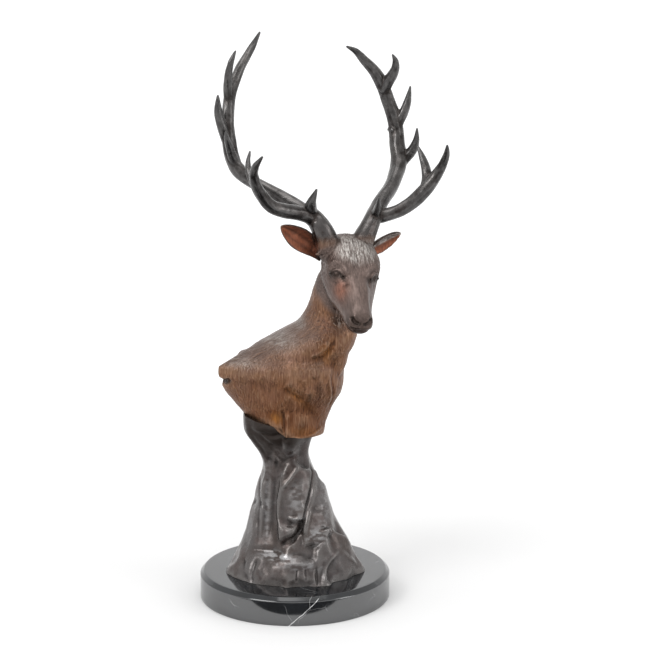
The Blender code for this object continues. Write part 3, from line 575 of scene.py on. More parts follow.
def ear_axes(hand):
    """Root, tip, direction across and direction that the bowl faces."""
    out, fwd, up = axes(CROWN_HEADING)
    if hand < 0:
        root, tip = crown_point(-22, -7, -22), crown_point(-80.5, -3, 17)
        face = fwd - 0.25 * up - 0.2 * out
    else:
        root, tip = crown_point(32, -6, -26), crown_point(81, -3, 1)
        face = 0.75 * fwd - 0.3 * up + 0.65 * out
    along = unit(tip - root)
    face = unit(face - face @ along * along)
    across = np.cross(along, face)
    if across[2] < 0:
        across = -across
    return root, tip, along, across, face


def ear(hand):
    """A pointed leaf rolled into a bowl: at each share of its length a thick
    crescent of the given half width and bowl depth, 1 - v^2 across."""
    root, tip, along, across, face = ear_axes(hand)
    shares = np.linspace(0.0, 1.0, 60)
    wide, bowl = rows_at(EAR_SECTIONS, shares).T[:, :, None]
    v = np.linspace(-1.0, 1.0, 33)[None, :]
    thick = np.minimum(1.5, 0.6 + wide * 0.2)
    fold = (0.45 * np.cos(v * 8.0 + 1.2) * smoothstep(0.95, 0.3, np.abs(v))
            * smoothstep(0.0, 0.3, shares)[:, None])
    back = np.stack([v * wide, -bowl * (1 - v**2) - thick], -1)
    front = np.stack([v * wide * 0.93, -bowl * (1 - v**2) + thick + fold], -1)
    ring = np.concatenate([back, front[:, ::-1]], axis=1)
    at = root + np.multiply.outer(shares * np.linalg.norm(tip - root), along)
    return closed_grid(at[:, None] + ring[..., :1] * across + ring[..., 1:] * face)


def boulder():
    """Level rings: half widths times the cosine and sine of the way round,
    swelled by waves of about 3% that make the flutes."""
    z = np.linspace(ROCK_SECTIONS[0][0], ROCK_SECTIONS[-1][0], 180)
    cx, cy, rx, ry = rows_at(ROCK_SECTIONS, z).T[:, :, None]
    u = np.linspace(0, 2 * math.pi, 220, endpoint=False)[None, :]
    foot = np.clip((55.0 - z) / 60.0, 0.0, 1.0)[:, None]
    swell = 1 + (0.035 * np.cos(5 * u + 0.6) + 0.030 * np.cos(9 * u + 2.0 + z[:, None] * 0.010)
                 + foot * 0.030 * np.cos(7 * u + 1.0))
    x, y = cx + rx * swell * np.cos(u), cy + ry * swell * np.sin(u)
    return closed_grid(np.stack([x, y, np.broadcast_to(z[:, None], x.shape)], -1))


# meshes

def add_object(name, verts, faces):
    """A new object in the scene, from points in metres."""
    mesh = bpy.data.meshes.new(name)
    mesh.from_pydata(verts, [], faces)
    mesh.update()
    ob = bpy.data.objects.new(name, mesh)
    bpy.context.scene.collection.objects.link(ob)
    return ob


def make_object(name, forms):
    """One object from several closed surfaces in units."""
    starts = np.cumsum([0] + [len(v) for v, _ in forms[:-1]])
    verts = np.concatenate([v for v, _ in forms]) * UNIT + ORIGIN
    tris = np.concatenate([t + s for (_, t), s in zip(forms, starts)])
    return add_object(name, verts.tolist(), tris.tolist())


def apply_modifiers(ob):
    """The mesh as its modifiers leave it, and the modifiers gone."""
    bpy.context.view_layer.update()
    graph = bpy.context.evaluated_depsgraph_get()
    mesh = bpy.data.meshes.new_from_object(ob.evaluated_get(graph))
    ob.modifiers.clear()
    old = ob.data
    ob.data = mesh
    bpy.data.meshes.remove(old)


def fuse(ob, voxel, smooth):
    """Joins overlapping closed surfaces into one skin, worked in steps of voxel
    units, and softens the joins in the given number of rounds."""
    skin = ob.modifiers.new("skin", "REMESH")
    skin.mode = "VOXEL"
    skin.voxel_size = voxel * UNIT
    soft = ob.modifiers.new("soft", "SMOOTH")
    soft.factor = 0.5
    soft.iterations = smooth
    apply_modifiers(ob)


def form_of(ob):
    """An object's surface back as (points, triangles), and the object gone."""
    mesh = ob.data
    mesh.calc_loop_triangles()
    tris = np.empty(len(mesh.loop_triangles) * 3, np.int32)
    mesh.loop_triangles.foreach_get("vertices", tris)
    skin = Skin(ob)
    bpy.data.objects.remove(ob, do_unlink=True)
    return skin.co, tris.reshape(-1, 3)


class Skin:
    """The points of an object's mesh in units, with tools that move them."""

    def __init__(self, ob):
        self.ob = ob
        self.read()

    def read(self):
        mesh = self.ob.data
        co = np.empty(len(mesh.vertices) * 3, np.float32)
        no = np.empty(len(mesh.vertices) * 3, np.float32)
        mesh.vertices.foreach_get("co", co)
        mesh.vertex_normals.foreach_get("vector", no)
        self.co = (co.reshape(-1, 3).astype(float) - ORIGIN) / UNIT
        self.no = no.reshape(-1, 3).astype(float)

    def write(self):
        co = self.co * UNIT + ORIGIN
        self.ob.data.vertices.foreach_set("co", co.astype(np.float32).ravel())
        self.ob.data.update()
        self.read()

    def front(self, seen, among=None, reach=2.2):
        """The point of the skin nearest the viewer over each (across, height)."""
        co = self.co if among is None else self.co[among]
        path = []
        for x, z in seen:
            near = np.hypot(co[:, 0] - x, co[:, 2] - z) < reach
            path.append((x, co[near, 1].min() if near.any() else 0.0, z))
        return np.array(path)

    def away(self, path, reach):
        """Indices of points within reach of a path, their distance from it and
        the share of its length at which they lie."""
        path = np.asarray(path, float)
        low, high = path.min(0) - reach, path.max(0) + reach
        near = np.flatnonzero(((self.co > low) & (self.co < high)).all(1))
        p = self.co[near]
        best, share = np.full(len(near), 1e9), np.zeros(len(near))
        steps = np.linalg.norm(np.diff(path, axis=0), axis=1)
        starts = np.concatenate([[0.0], np.cumsum(steps)])
        for a, b, step, start in zip(path[:-1], path[1:], steps, starts):
            ab = b - a
            t = np.clip((p - a) @ ab / max(ab @ ab, 1e-12), 0.0, 1.0)
            gone = np.linalg.norm(p - a - t[:, None] * ab, axis=1)
            closer = gone < best
            best[closer] = gone[closer]
            share[closer] = (start + t[closer] * step) / starts[-1]
        return near, best, share

    def press(self, path, width, depth, fade=0.25):
        """A groove along the path, or a ridge if depth is negative: each point
        moves along its normal by depth times exp(-2 (distance / width)^2),
        which fades out over the first and last share of the path."""
        near, gone, share = self.away(path, width * 2.2)
        shape = np.exp(-2.0 * (gone / width) ** 2) * depth
        if fade:
            shape *= smoothstep(-0.02, fade, share) * smoothstep(1.02, 1 - fade, share)
        self.co[near] -= self.no[near] * shape[:, None]

    def swell(self, centre, radii, rise):
        """Raises an oval area by rise times exp(-2 d^2), d in shares of radii."""
        d = np.linalg.norm((self.co - np.asarray(centre)) / radii, axis=1)
        near = np.flatnonzero(d < 2.0)
        self.co[near] += self.no[near] * (rise * np.exp(-2 * d[near] ** 2))[:, None]

    def chisel(self, spot, facing, reach, depth):
        """Flattens the skin round a spot: what stands proud of the plane is
        brought back to it, fading out near the reach."""
        p = self.co - spot
        d = np.linalg.norm(p, axis=1) / reach
        near = np.flatnonzero(d < 1.0)
        proud = np.maximum(p[near] @ facing + depth, 0.0)
        self.co[near] -= facing * (proud * smoothstep(1.0, 0.72, d[near]))[:, None]

    def hollow(self, rounds):
        """How far each point lies under the surface that repeated averaging of
        neighbours would give: positive in grooves, negative on edges."""
        mesh = self.ob.data
        pairs = np.empty(len(mesh.edges) * 2, np.int32)
        mesh.edges.foreach_get("vertices", pairs)
        i, j = pairs.reshape(-1, 2).T
        n = len(self.co)
        count = np.bincount(i, minlength=n) + np.bincount(j, minlength=n)
        soft = self.co.copy()
        for _ in range(rounds):
            soft = np.stack([(np.bincount(i, soft[j, k], n) + np.bincount(j, soft[i, k], n)) / count
                             for k in range(3)], 1)
        return np.einsum("ij,ij->i", soft - self.co, self.no)

    def mark(self, name, values):
        """Keeps a number for each point on the mesh, for the materials."""
        layer = self.ob.data.attributes.new(name, "FLOAT", "POINT")
        layer.data.foreach_set("value", np.asarray(values, np.float32))

    def mark_vector(self, name, values):
        layer = self.ob.data.attributes.new(name, "FLOAT_VECTOR", "POINT")
        layer.data.foreach_set("vector", np.asarray(values, np.float32).ravel())


def plane_cut(ob, point, normal):
    """Cuts off the side the normal points to and closes the cut flat. The
    point is in units."""
    bm = bmesh.new()
    bm.from_mesh(ob.data)
    geom = list(bm.verts) + list(bm.edges) + list(bm.faces)
    place = Vector(point) * UNIT + Vector(ORIGIN)
    bmesh.ops.bisect_plane(bm, geom=geom, plane_co=place, plane_no=Vector(normal),
                           dist=1e-6, clear_outer=True)
    bmesh.ops.holes_fill(bm, edges=[e for e in bm.edges if e.is_boundary])
    bmesh.ops.triangulate(bm, faces=[f for f in bm.faces if len(f.verts) > 4])
    bm.to_mesh(ob.data)
    bm.free()


def thin_out(ob, triangles):
    """Fewer triangles where the form is plain."""
    count = sum(len(p.vertices) - 2 for p in ob.data.polygons)
    if count > triangles:
        thin = ob.modifiers.new("thin", "DECIMATE")
        thin.ratio = triangles / count
        thin.use_collapse_triangulate = True
        apply_modifiers(ob)


def finish(ob, material, node):
    """Dresses a piece, hangs it on the root body and hides the part that it replaces."""
    ob.data.materials.clear()
    ob.data.materials.append(material)
    ob.data.shade_smooth()
    ob.data.set_sharp_from_angle(angle=SHARP_FROM)
    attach(ob, "root")
    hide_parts(node)


def stump_drop(co):
    """How far the seat lies lower under the stump than on the sloping cut."""
    here = smoothstep(-16, -11, co[:, 0]) * smoothstep(14, -4, co[:, 1])
    return (SEAT_AT - SEAT_FALL * co[:, 0] - STUMP_END) * here


def over_seat(co):
    """Height of each point over the sloping cut."""
    return co[:, 2] - (SEAT_AT - SEAT_FALL * co[:, 0])


# the stag

def head_share(co):
    """1 on the head and 0 on the neck, from how far a point lies outside the
    head's section."""
    a, s, r = head_place(co)
    keys = [row[0] for row in HEAD_SECTIONS]
    rows = spline(keys, [(row[2], row[7], row[8], row[14]) for row in HEAD_SECTIONS], a)
    top, wide, mid, low = rows.T
    up = np.where(r > mid, (r - mid) / (top - mid), (mid - r) / (mid - low))
    rho = np.hypot(s / wide, up)
    return (smoothstep(1.45, 1.15, rho) * smoothstep(-30, -20, a) * smoothstep(132, 127, a)
            * smoothstep(-78, -66, r))


def antler_share(co, antlers):
    """For each point of the antlers: how far it lies from the nearest bar's
    surface, the way along that bar from its tip, and the angle round it."""
    gap = np.full(len(co), 1e9)
    left, angle = np.zeros(len(co)), np.zeros(len(co))
    for stations in antlers:
        for rows in stations.values():
            line, way, cross, at = course(rows, 3)
            third = np.cross(way, cross)
            low, high = line[:, :3].min(0) - 16, line[:, :3].max(0) + 16
            near = np.flatnonzero(((co > low) & (co < high)).all(1))
            p = co[near]
            for i in range(len(line) - 1):
                ab = line[i + 1, :3] - line[i, :3]
                t = np.clip((p - line[i, :3]) @ ab / (ab @ ab), 0.0, 1.0)
                out = p - line[i, :3] - t[:, None] * ab
                g = np.linalg.norm(out, axis=1) - (line[i, 3] + t * (line[i + 1, 3] - line[i, 3]))
                hit = g < gap[near]
                gap[near[hit]] = g[hit]
                left[near[hit]] = (at[-1] - at[i] - t * (at[i + 1] - at[i]))[hit]
                angle[near[hit]] = np.arctan2(out @ third[i], out @ cross[i])[hit]
    return gap, left, angle


def carve_face(skin):
    """Sockets, brows, cheeks, bridge, nostrils and mouth, on both sides."""
    def line(hand, points, width, depth):
        skin.press(face_path(points, hand), width, depth)

    skin.press(face_path([(20, 0.0), (36, 0.0), (52, 0.0)], 1), 9.0, 0.9)
    skin.swell(on_face(27, 2.2, 1), (16, 16, 16), 2.6)
    for hand in (-1, 1):
        for row in ORBIT_LINES:
            line(hand, *row)
        skin.swell(on_face(38, 2.05, hand), (10, 8, 7), 1.6)
        line(hand, *CHEEK_BONE)
        skin.swell(on_face(20, 4.4, hand), (20, 14, 18), 1.6)
        line(hand, *JAW_EDGE)
        line(hand, BRIDGE_EDGE, 5.0, 0.9 if hand < 0 else -0.5)
        for row in CHEEK_LINES:
            line(hand, *row)
    skin.write()
    for hand in (-1, 1):
        for row in NOSTRIL_RIMS:
            line(hand, *row)
        skin.press(face_path(NOSTRIL, hand), 2.0, 4.6, fade=0.1)
        for row in LIPS:
            line(hand, *row)
        mouth = np.concatenate([[head_point(125.0, 0.0, -18.5)], face_path(MOUTH, hand)])
        skin.press(mouth, 1.5, 1.3, fade=0.0)
    skin.press(face_path([(119.5, 0.0), (122.5, 0.0), (124.3, 0.0)], 1), 1.6, 0.7)
    skin.write()


def eye_ball(hand):
    """Middle of the eyeball."""
    return on_face(47.8, 2.2 if hand < 0 else 2.3, hand, -4.6)


def eye_parts():
    """Eyeball and two lids on each side, as closed surfaces."""
    parts = []
    for hand in (-1, 1):
        parts.append(ellipsoid(eye_ball(hand), (EYE_RADIUS,) * 3))
        lean = on_face(48, 2.1 + EYE_SHIFT[hand], hand) - on_face(48, 2.1, hand)
        for lid, lift, radii in ((UPPER_LID, 0.6, UPPER_RADII), (LOWER_LID, -0.6, LOWER_RADII)):
            path = face_path(lid, hand, lift)
            parts.append(bar([(*(p + lean), r) for p, r in zip(path, radii)], 14))
    return parts


def lock_stations():
    """A few long locks that hang from the angle of the jaw."""
    under_jaw = 5.05
    for a, drop, lean in ((46, 13, 2), (54, 15, 1), (62, 15, 0), (70, 12, -1)):
        root = on_face(a, under_jaw, -1, -0.5)
        way = np.array([0.10 * lean - 0.1, 0.05, -1.0])
        rows = []
        for t in (0.0, 0.3, 0.6, 0.85, 1.0):
            wave = np.array([0.0, -1.6 * math.sin(3 * t), 0.0])
            rows.append((*(root + way * drop * t + wave), 1.1 * (1 - t) ** 0.6 + 0.25))
        yield rows


def root_beads():
    """Small knobs where the near antler leaves the brow, in two short rows."""
    beads = []
    for k in range(9):
        row, place = divmod(k, 5)
        spot = crown_point(-27 - 2.6 * place, 6.5 + 0.5 * (k % 2), -9 - 2.2 * place - 3.4 * row)
        beads.append(ellipsoid(spot, (1.9, 1.9, 1.7), rows=12, cols=14))
    return beads


def sculpt_stag(settings):
    """The whole casting: soft body first, then ears, eyes and antlers joined
    to it, then the carving and the cuts."""
    grain = settings.grain
    soft = make_object("soft_body", [
        torso(), head(), *(ellipsoid(*mass) for mass in BUST_MASSES),
        ellipsoid(head_point(109, 0, -26.5), (9, 10, 7))])
    fuse(soft, voxel=1.7, smooth=10)
    near, far = antler_stations(NEAR_ANTLER, -1), antler_stations(FAR_ANTLER, 1)
    bars = [bar(rows) for table in (near, far) for rows in table.values()]
    carve_face(Skin(soft))
    ob = make_object("stag_bronze", [form_of(soft), ear(-1), ear(1)] + bars + eye_parts()
                     + [bar(rows, 10) for rows in lock_stations()] + root_beads())
    fuse(ob, voxel=grain, smooth=5)
    skin = Skin(ob)
    on_head = head_share(skin.co)
    body = on_head < 0.4
    for x, z, wide, high, rise in BUST_SWELLS:
        skin.swell(skin.front([(x, z)], body)[0], (wide, 16, high), rise)
    skin.write()
    for seen, width, depth in BUST_LINES:
        skin.press(skin.front(seen, body), width, depth)
    skin.write()
    carve_tear_grooves(skin)
    spot, facing, reach = HIND_FLAT
    skin.chisel(np.array(spot), unit(facing), reach, 0.0)
    skin.write()
    add_hair(skin, settings, (near, far))
    _, heading, _ = axes(BODY_HEADING)
    plane_cut(ob, heading * HIND_CUT, -heading)
    plane_cut(ob, (0, 0, SEAT_AT), (-SEAT_FALL, 0, -1))
    skin = Skin(ob)
    skin.co[:, 2] -= stump_drop(skin.co) * smoothstep(26, 3, over_seat(skin.co))
    skin.write()
    thin_out(ob, settings.stag_triangles)
    return ob, (near, far)


def carve_tear_grooves(skin):
    """The tear groove at the eye's front corner."""
    points, width, depth = TEAR_GROOVE
    for hand in (-1, 1):
        skin.press(face_path(points, hand), width, depth)
    skin.write()


def coat(co, no):
    """Hair strokes: down the flanks and neck, along the back, and on the head
    in a fan that spreads towards the brows."""
    on_head = head_share(co)
    a, s, r = head_place(co)
    fan = 1.0 + 0.012 * np.clip(45 - a, 0, 60)
    back = smoothstep(0.35, 0.75, no[:, 2])
    spaced = co / HAIR_SPACING
    body = (1 - back) * hair(spaced, (0.05, 0, 1), 11) + back * hair(spaced, (0.80, -0.35, 0.48), 13)
    return on_head, body, hair(np.stack([s * fan, r, a], 1) / HAIR_SPACING, (0, 0, 1), 23)


def add_hair(skin, settings, antlers):
    """Hair strokes along the body and head, furrows along the antlers."""
    co = skin.co
    on_head, body, brow = coat(co, skin.no)
    gap, left, angle = antler_share(co, antlers)
    bare = smoothstep(2.2, 0.6, gap) * smoothstep(418, 428, co[:, 2])
    a, _, _ = head_place(co)
    strength = np.interp(co[:, 2], *BODY_HAIR)
    strength *= 0.65 + 0.5 * layered(co / 30.0, 2, 3)
    face = np.interp(a, *HEAD_HAIR)
    move = (1 - on_head) * strength * body + on_head * face * brow
    for root, tip, along, *_ in (ear_axes(-1), ear_axes(1)):
        v = (co - root) @ along / np.linalg.norm(tip - root)
        off = np.linalg.norm(np.cross(co - root, along), axis=1)
        on_ear = smoothstep(0.12, 0.3, v) * smoothstep(26, 20, off) * smoothstep(1.2, 1.05, v)
        move *= 1 - 0.75 * on_ear
    wander = 0.5 * noise(left[:, None] / 26 * np.array([1.0, 0.0, 0.0]), 4)
    furrows = np.cos(5 * (angle + wander)) * 0.7 + 0.3 * np.cos(11 * angle + 3 * wander)
    taper = smoothstep(3, 26, left)
    along_antler = 0.26 * taper * furrows + 0.14 * layered(co / 5.0, 2, 9)
    skin.co += skin.no * (settings.stroke_depth * ((1 - bare) * move * 1.9)
                          + settings.furrow_depth * bare * along_antler)[:, None]
    skin.co += skin.no * (0.25 * (1 - bare) * (1 - on_head) * layered(co / 14.0, 2, 31))[:, None]
    skin.write()


def ear_patina(co, no):
    """On the ears: the red of the bowls, the silver that the far one has above
    its middle instead, the whole ear and its dark rim."""
    red, silver, whole, rim = np.zeros((4, len(co)))
    for root, tip, along, across, bowl in (ear_axes(-1), ear_axes(1)):
        p = co - root
        share = p @ along / np.linalg.norm(tip - root)
        v = p @ across / rows_at(EAR_SECTIONS, share)[:, 0]
        zone = (smoothstep(0.05, 0.16, share) * smoothstep(1.02, 0.93, share)
                * smoothstep(11, 8, np.abs(p @ bowl + 2)))
        inside = smoothstep(0.05, 0.35, no @ bowl) * smoothstep(0.98, 0.86, np.abs(v)) * zone
        if root[0] > CROWN_AT[0]:
            silver = inside * smoothstep(-0.35, -0.05, v)
            inside = inside * smoothstep(-0.05, -0.4, v)
        red = np.maximum(red, inside)
        on_ear = zone * smoothstep(1.25, 1.05, np.abs(v))
        whole = np.maximum(whole, on_ear)
        edge = np.maximum(smoothstep(0.78, 0.97, np.abs(v)),
                          smoothstep(0.35, 0.9, v) * smoothstep(0.9, 0.2, share))
        rim = np.maximum(rim, on_ear * edge * (no @ bowl > -0.2))
    return red, silver, whole, rim


def face_dark_and_shade(skin):
    """Dark eyeballs, and painted shade round the eyes, in the tear ducts, in the slits
    between the lids and in the nostrils, with a painted glint of light left on top of each eyeball."""
    co, no = skin.co, skin.no
    dark_and_shade = np.zeros(len(co))
    for hand in (-1, 1):
        out = np.linalg.norm(co - eye_ball(hand), axis=1)
        duct = np.linalg.norm(co - on_face(58, 1.75, hand), axis=1)
        # painted shade round each eye under the brow, the dark eyeball itself, and painted shade in the
        # tear duct
        for share in (0.62 * smoothstep(9.5, 6.6, out), 0.97 * smoothstep(6.4, 6.0, out),
                      0.85 * np.exp(-(duct / 4.0) ** 2)):
            dark_and_shade = np.maximum(dark_and_shade, share)
        # painted shade in the slit between the lids
        slit = [(a, k + EYE_SHIFT[hand]) for a, k in EYE_SLIT]
        near, gone, _ = skin.away(face_path(slit, hand), 9.0)
        dark_and_shade[near] = np.maximum(dark_and_shade[near], 0.93 * np.exp(-(gone / 4.3) ** 4))
        # a painted glint of light on top of the eyeball
        lit = smoothstep(6.3, 5.9, out) * smoothstep(0.2, 0.5, no[:, 2] - 0.4 * no[:, 1])
        dark_and_shade = np.minimum(dark_and_shade, 1 - 0.22 * lit)
        # painted shade in the nostril
        near, gone, _ = skin.away(face_path(NOSTRIL, hand), 6.0)
        dark_and_shade[near] = np.maximum(dark_and_shade[near], 0.97 * np.exp(-(gone / 3.0) ** 4))
    return dark_and_shade


def mark_patina(ob, antlers):
    """Where each colour of the patina lies, and where shade and light are painted, as numbers on the
    mesh.
    """
    skin = Skin(ob)
    co, no = skin.co, skin.no
    a, s, r = head_place(co)
    on_head, body, brow_hair = coat(co, no)
    gap, left, angle = antler_share(co, antlers)
    antler = smoothstep(3.0, 0.8, gap) * smoothstep(412, 430, co[:, 2])
    fine, broad = skin.hollow(2), skin.hollow(14)
    blotch = layered(co / 16.0, 3, 41)
    # orange low on the shoulder and leg, in the folds and on the throat
    x, z = co[:, 0], co[:, 2]
    low = smoothstep(262, 205, z + 14 * blotch)
    fold = spots(x, z, ORANGE_FOLD) * smoothstep(10, -10, co[:, 1])
    crease = np.exp(-((x - (-2 + (240 - z) * 0.9)) / 9) ** 2 - ((z - 238) / 16) ** 2)
    orange = np.clip(0.62 * low + 0.9 * fold + 0.4 * crease + spots(x, z, ORANGE_THROAT), 0, 1)
    orange *= (1 - on_head) * (1 - antler)
    # grey on the neck's back, the head and the withers
    back = smoothstep(0.0, 0.8, no[:, 2]) * smoothstep(240, 275, z)
    grey = np.clip(on_head * 0.9 + 0.7 * back + 0.35 * smoothstep(340, 400, z), 0, 1)
    # rubbed bright: forehead between the brows and the horns, the withers
    brow = (smoothstep(-12, 4, a) * smoothstep(48, 30, a + 0.35 * np.abs(s))
            * smoothstep(30, 18, np.abs(s - 2)) * smoothstep(-14, -3, r))
    withers = spots(x, z, WITHERS_RUBBED) * smoothstep(12, -8, co[:, 1])
    silver = np.clip(on_head * brow + 0.62 * withers, 0, 1) * (1 - antler)
    # ochre in the fold beside the stump, under the ruff and in the crease
    slant = 0.5 * np.exp(-((x - 4 + (z - 232) * 0.9) / 7) ** 2 - ((z - 232) / 14) ** 2)
    ochre = (spots(x, z, OCHRE_SPOTS) + slant) * smoothstep(10, -8, co[:, 1])
    ochre *= (1 - on_head) * (0.75 + 0.4 * blotch)
    # the ears, a red patch under the near eye, dark ear rims, eyeballs and nose pad, and painted shade
    ear_red, ear_silver, on_ear, rim = ear_patina(co, no)
    grey = np.maximum(grey, on_ear)
    silver = np.maximum(silver, 0.9 * ear_silver)
    patch = np.linalg.norm((co - on_face(70, 2.4, -1)) / [9, 14, 12], axis=1)
    red = np.maximum(ear_red * (1 - antler), 0.55 * np.exp(-patch ** 2))
    dark_and_shade = np.maximum(0.8 * rim, face_dark_and_shade(skin))
    pad = smoothstep(104, 118, a) * on_head
    dark_and_shade = np.maximum(dark_and_shade, 0.5 * pad)
    # painted shade behind the jaw, with painted highlights on the strands that hang there
    under = on_face(62, 5.3, -1) + np.array([0.0, 8.0, -9.0])
    shade = np.exp(-(np.linalg.norm((co - under) / [11, 26, 13], axis=1)) ** 4) * (1 - on_head)
    dark_and_shade = np.maximum(dark_and_shade, 0.85 * shade * smoothstep(0.55, 0.1, body))
    silver = np.maximum(silver, 0.6 * shade * smoothstep(0.2, 0.6, body))
    # painted shadow in the notch at the hind end, under the overhang above it
    notch = np.exp(-(((x + 87) / 8.5) ** 2 + ((z - 242.5) / 3.4) ** 2) ** 2)
    dark_and_shade = np.maximum(dark_and_shade, 0.92 * notch * smoothstep(30, 10, co[:, 1]))
    tips = antler * smoothstep(44, 6, left)
    folds = np.clip(broad / 0.9, 0, 1) * smoothstep(320, 290, z) * (1 - on_head)
    for name, values in {
            "orange": np.clip(orange + 0.9 * folds, 0, 1), "ochre": np.clip(ochre, 0, 1),
            "strokes": (1 - on_head) * body + on_head * brow_hair,
            "root": antler * smoothstep(472, 430, z), "grey": grey * (1 - antler),
            "silver": silver, "red": red, "dark_and_shade": dark_and_shade, "antler": antler,
            # nearly black tine tips, and painted shade on the antlers' undersides
            "tips": np.maximum(tips, antler * smoothstep(0.1, -0.5, no[:, 2]) * 0.8),
            # painted light: the antlers' sides turned up and to the left are made lighter
            "upper": antler * smoothstep(0.0, 0.8, no[:, 2] - 0.3 * no[:, 0]),
            "groove": np.clip(fine / 0.22, -1, 1), "deep": np.clip(broad / 0.9, -1, 1)}.items():
        skin.mark(name, values)
    # a place that is drawn out along the hair and the furrows, for the clouds
    back = smoothstep(0.35, 0.75, no[:, 2])[:, None]
    p = ((1 - back) * co * [1, 1, 0.12]
         + back * np.stack([x * 0.15 + z * 0.12, co[:, 1], z - x * 0.6], 1))
    q = np.stack([s, r, a * 0.14], 1)
    ring = np.stack([np.cos(angle) * 7, np.sin(angle) * 7, left * 0.12], 1)
    flow = p * (1 - on_head)[:, None] + q * on_head[:, None]
    flow = flow * (1 - antler)[:, None] + ring * antler[:, None]
    skin.mark_vector("flow", flow)


# the rock

def sculpt_rock(settings):
    """The fused masses, chiselled flat, creased and cut at foot and seat."""
    rough = make_object("rough_rock", [boulder()] + [block(c) for c in ROCK_BLOCKS])
    fuse(rough, voxel=1.8, smooth=20)
    skin = Skin(rough)
    for x, z, turn, tip, reach, depth in ROCK_FLATS:
        t, u = math.radians(turn), math.radians(tip)
        facing = np.array([math.sin(t) * math.cos(u), -math.cos(t) * math.cos(u), math.sin(u)])
        skin.chisel(skin.front([(x, z)])[0], facing, reach, depth)
    for bearing, z, tip, reach, depth in ROCK_BACK_FLATS:
        b, u = math.radians(bearing), math.radians(tip)
        level = np.array([math.sin(b), -math.cos(b), 0.0])
        near = np.abs(skin.co[:, 2] - z) < 3
        p = skin.co[near]
        towards = unit(p[:, :2] - np.array(ROCK_AXIS)) @ level[:2]
        spot = p[np.argmax(towards)]
        skin.chisel(spot, level * math.cos(u) + np.array([0, 0, math.sin(u)]), reach, depth)
    skin.write()
    fuse(rough, voxel=1.7, smooth=7)
    ob = make_object("rock_bronze", [form_of(rough)])
    fuse(ob, voxel=settings.rock_grain, smooth=3)
    skin = Skin(ob)
    for seen, width, depth in ROCK_LINES:
        skin.press(skin.front(seen), width, depth)
    for path, width, depth in ROCK_CLEFTS:
        skin.press(path, width, depth)
    skin.write()
    co = skin.co
    lumps = layered(co * np.array([1, 1, 0.6]) / 15.0, 3, 51)
    ridges = 1 - 2.2 * np.abs(layered(co * np.array([1, 1, 0.55]) / 22.0, 2, 57))
    seat = smoothstep(2, 10, np.abs(over_seat(co)))
    push = 0.5 * lumps + 0.16 * np.clip(ridges, -0.6, 1) + 0.04 * layered(co / 2.6, 2, 61)
    skin.co += skin.no * (settings.rock_relief * push * (0.4 + 0.6 * seat))[:, None]
    skin.write()
    plane_cut(ob, (0, 0, GAP), (0, 0, -1))
    plane_cut(ob, (0, 0, SEAT_AT - GAP), (SEAT_FALL, 0, 1))
    skin = Skin(ob)
    skin.co[:, 2] -= stump_drop(skin.co) * smoothstep(-40, -4, over_seat(skin.co))
    skin.write()
    thin_out(ob, settings.rock_triangles)
    return ob


def mark_rock(ob):
    """Where the rock's colours lie, with its painted highlights and painted shade, as numbers on the
    mesh.
    """
    skin = Skin(ob)
    skin.mark("groove", np.clip(skin.hollow(2) / 0.2, -1, 1))
    skin.mark("deep", np.clip(skin.hollow(24) / 1.3, -1, 1))
    x, z = skin.co[:, 0], skin.co[:, 2]
    blotch = layered(skin.co / 12.0, 3, 71)
    # dark patina with painted shade: the cap under the bust and the waist under the cap's overhang are
    # darkened
    cap_and_shade = smoothstep(160, 176, z - 0.35 * x + 5 * blotch)
    waist_and_shade = smoothstep(0.0, 0.5, 0.25 + blotch) * smoothstep(112, 132, z) * smoothstep(24, 4, x)
    # painted highlights: pale patches on the front where light shines on the glossy rock
    smear = smoothstep(-0.35, 0.45, layered(skin.co / [7.0, 7.0, 3.0], 3, 77))
    painted_highlight = np.clip(spots(x, z, ROCK_PAINTED_HIGHLIGHTS), 0, 1) * smear
    skin.mark("painted_highlight", painted_highlight * smoothstep(0.1, -0.3, skin.no[:, 1]))
    skin.mark("cap_and_shade", cap_and_shade)
    # painted shade: the face under the ledge, where the ledge shades it, is made as dark as the waist
    face = (0.75 * smoothstep(27, 20, z) * smoothstep(1, 8, z)
            * smoothstep(-52, -40, x) * smoothstep(34, 24, x))
    skin.mark("waist_and_shade", np.maximum(waist_and_shade * (1 - cap_and_shade), face * smoothstep(-0.4, 0.3, blotch)))


# the marble base

def turn_base(name):
    """A profile of radius and height carried round the axis in 256 steps. The
    top edge is chamfered and each of its corners is rounded."""
    radius = (BASE_HIGH[0] - BASE_LOW[0]) / 2
    chamfer, ease = CHAMFER, EASE
    path = [(0.0002, 0.0), (radius - 0.02, 0.0), (radius - ease, 0.0), (radius, ease),
            (radius, TOP - chamfer - 0.006), (radius, TOP - chamfer - 0.0007),
            (radius - 0.0002, TOP - chamfer - 0.0002),
            (radius - 0.0007, TOP - chamfer + 0.0005), (radius - chamfer + 0.0008, TOP - 0.0010),
            (radius - chamfer + 0.0002, TOP - 0.0004), (radius - chamfer - 0.0006, TOP - 0.00005),
            (radius - chamfer - 0.0014, TOP), (radius * 0.8, TOP), (radius * 0.5, TOP), (0.0002, TOP)]
    keys = np.arange(len(path), dtype=float)
    profile = np.stack([np.interp(np.linspace(0, len(path) - 1, 71), keys, column)
                        for column in zip(*path)], 1)
    u = np.linspace(0, 2 * math.pi, 256, endpoint=False)
    rings = np.stack([profile[:, :1] * np.cos(u), profile[:, :1] * np.sin(u),
                      np.broadcast_to(profile[:, 1:], (71, 256))], -1)
    verts, tris = closed_grid(rings)
    return add_object(name, verts.tolist(), tris.tolist())


# materials

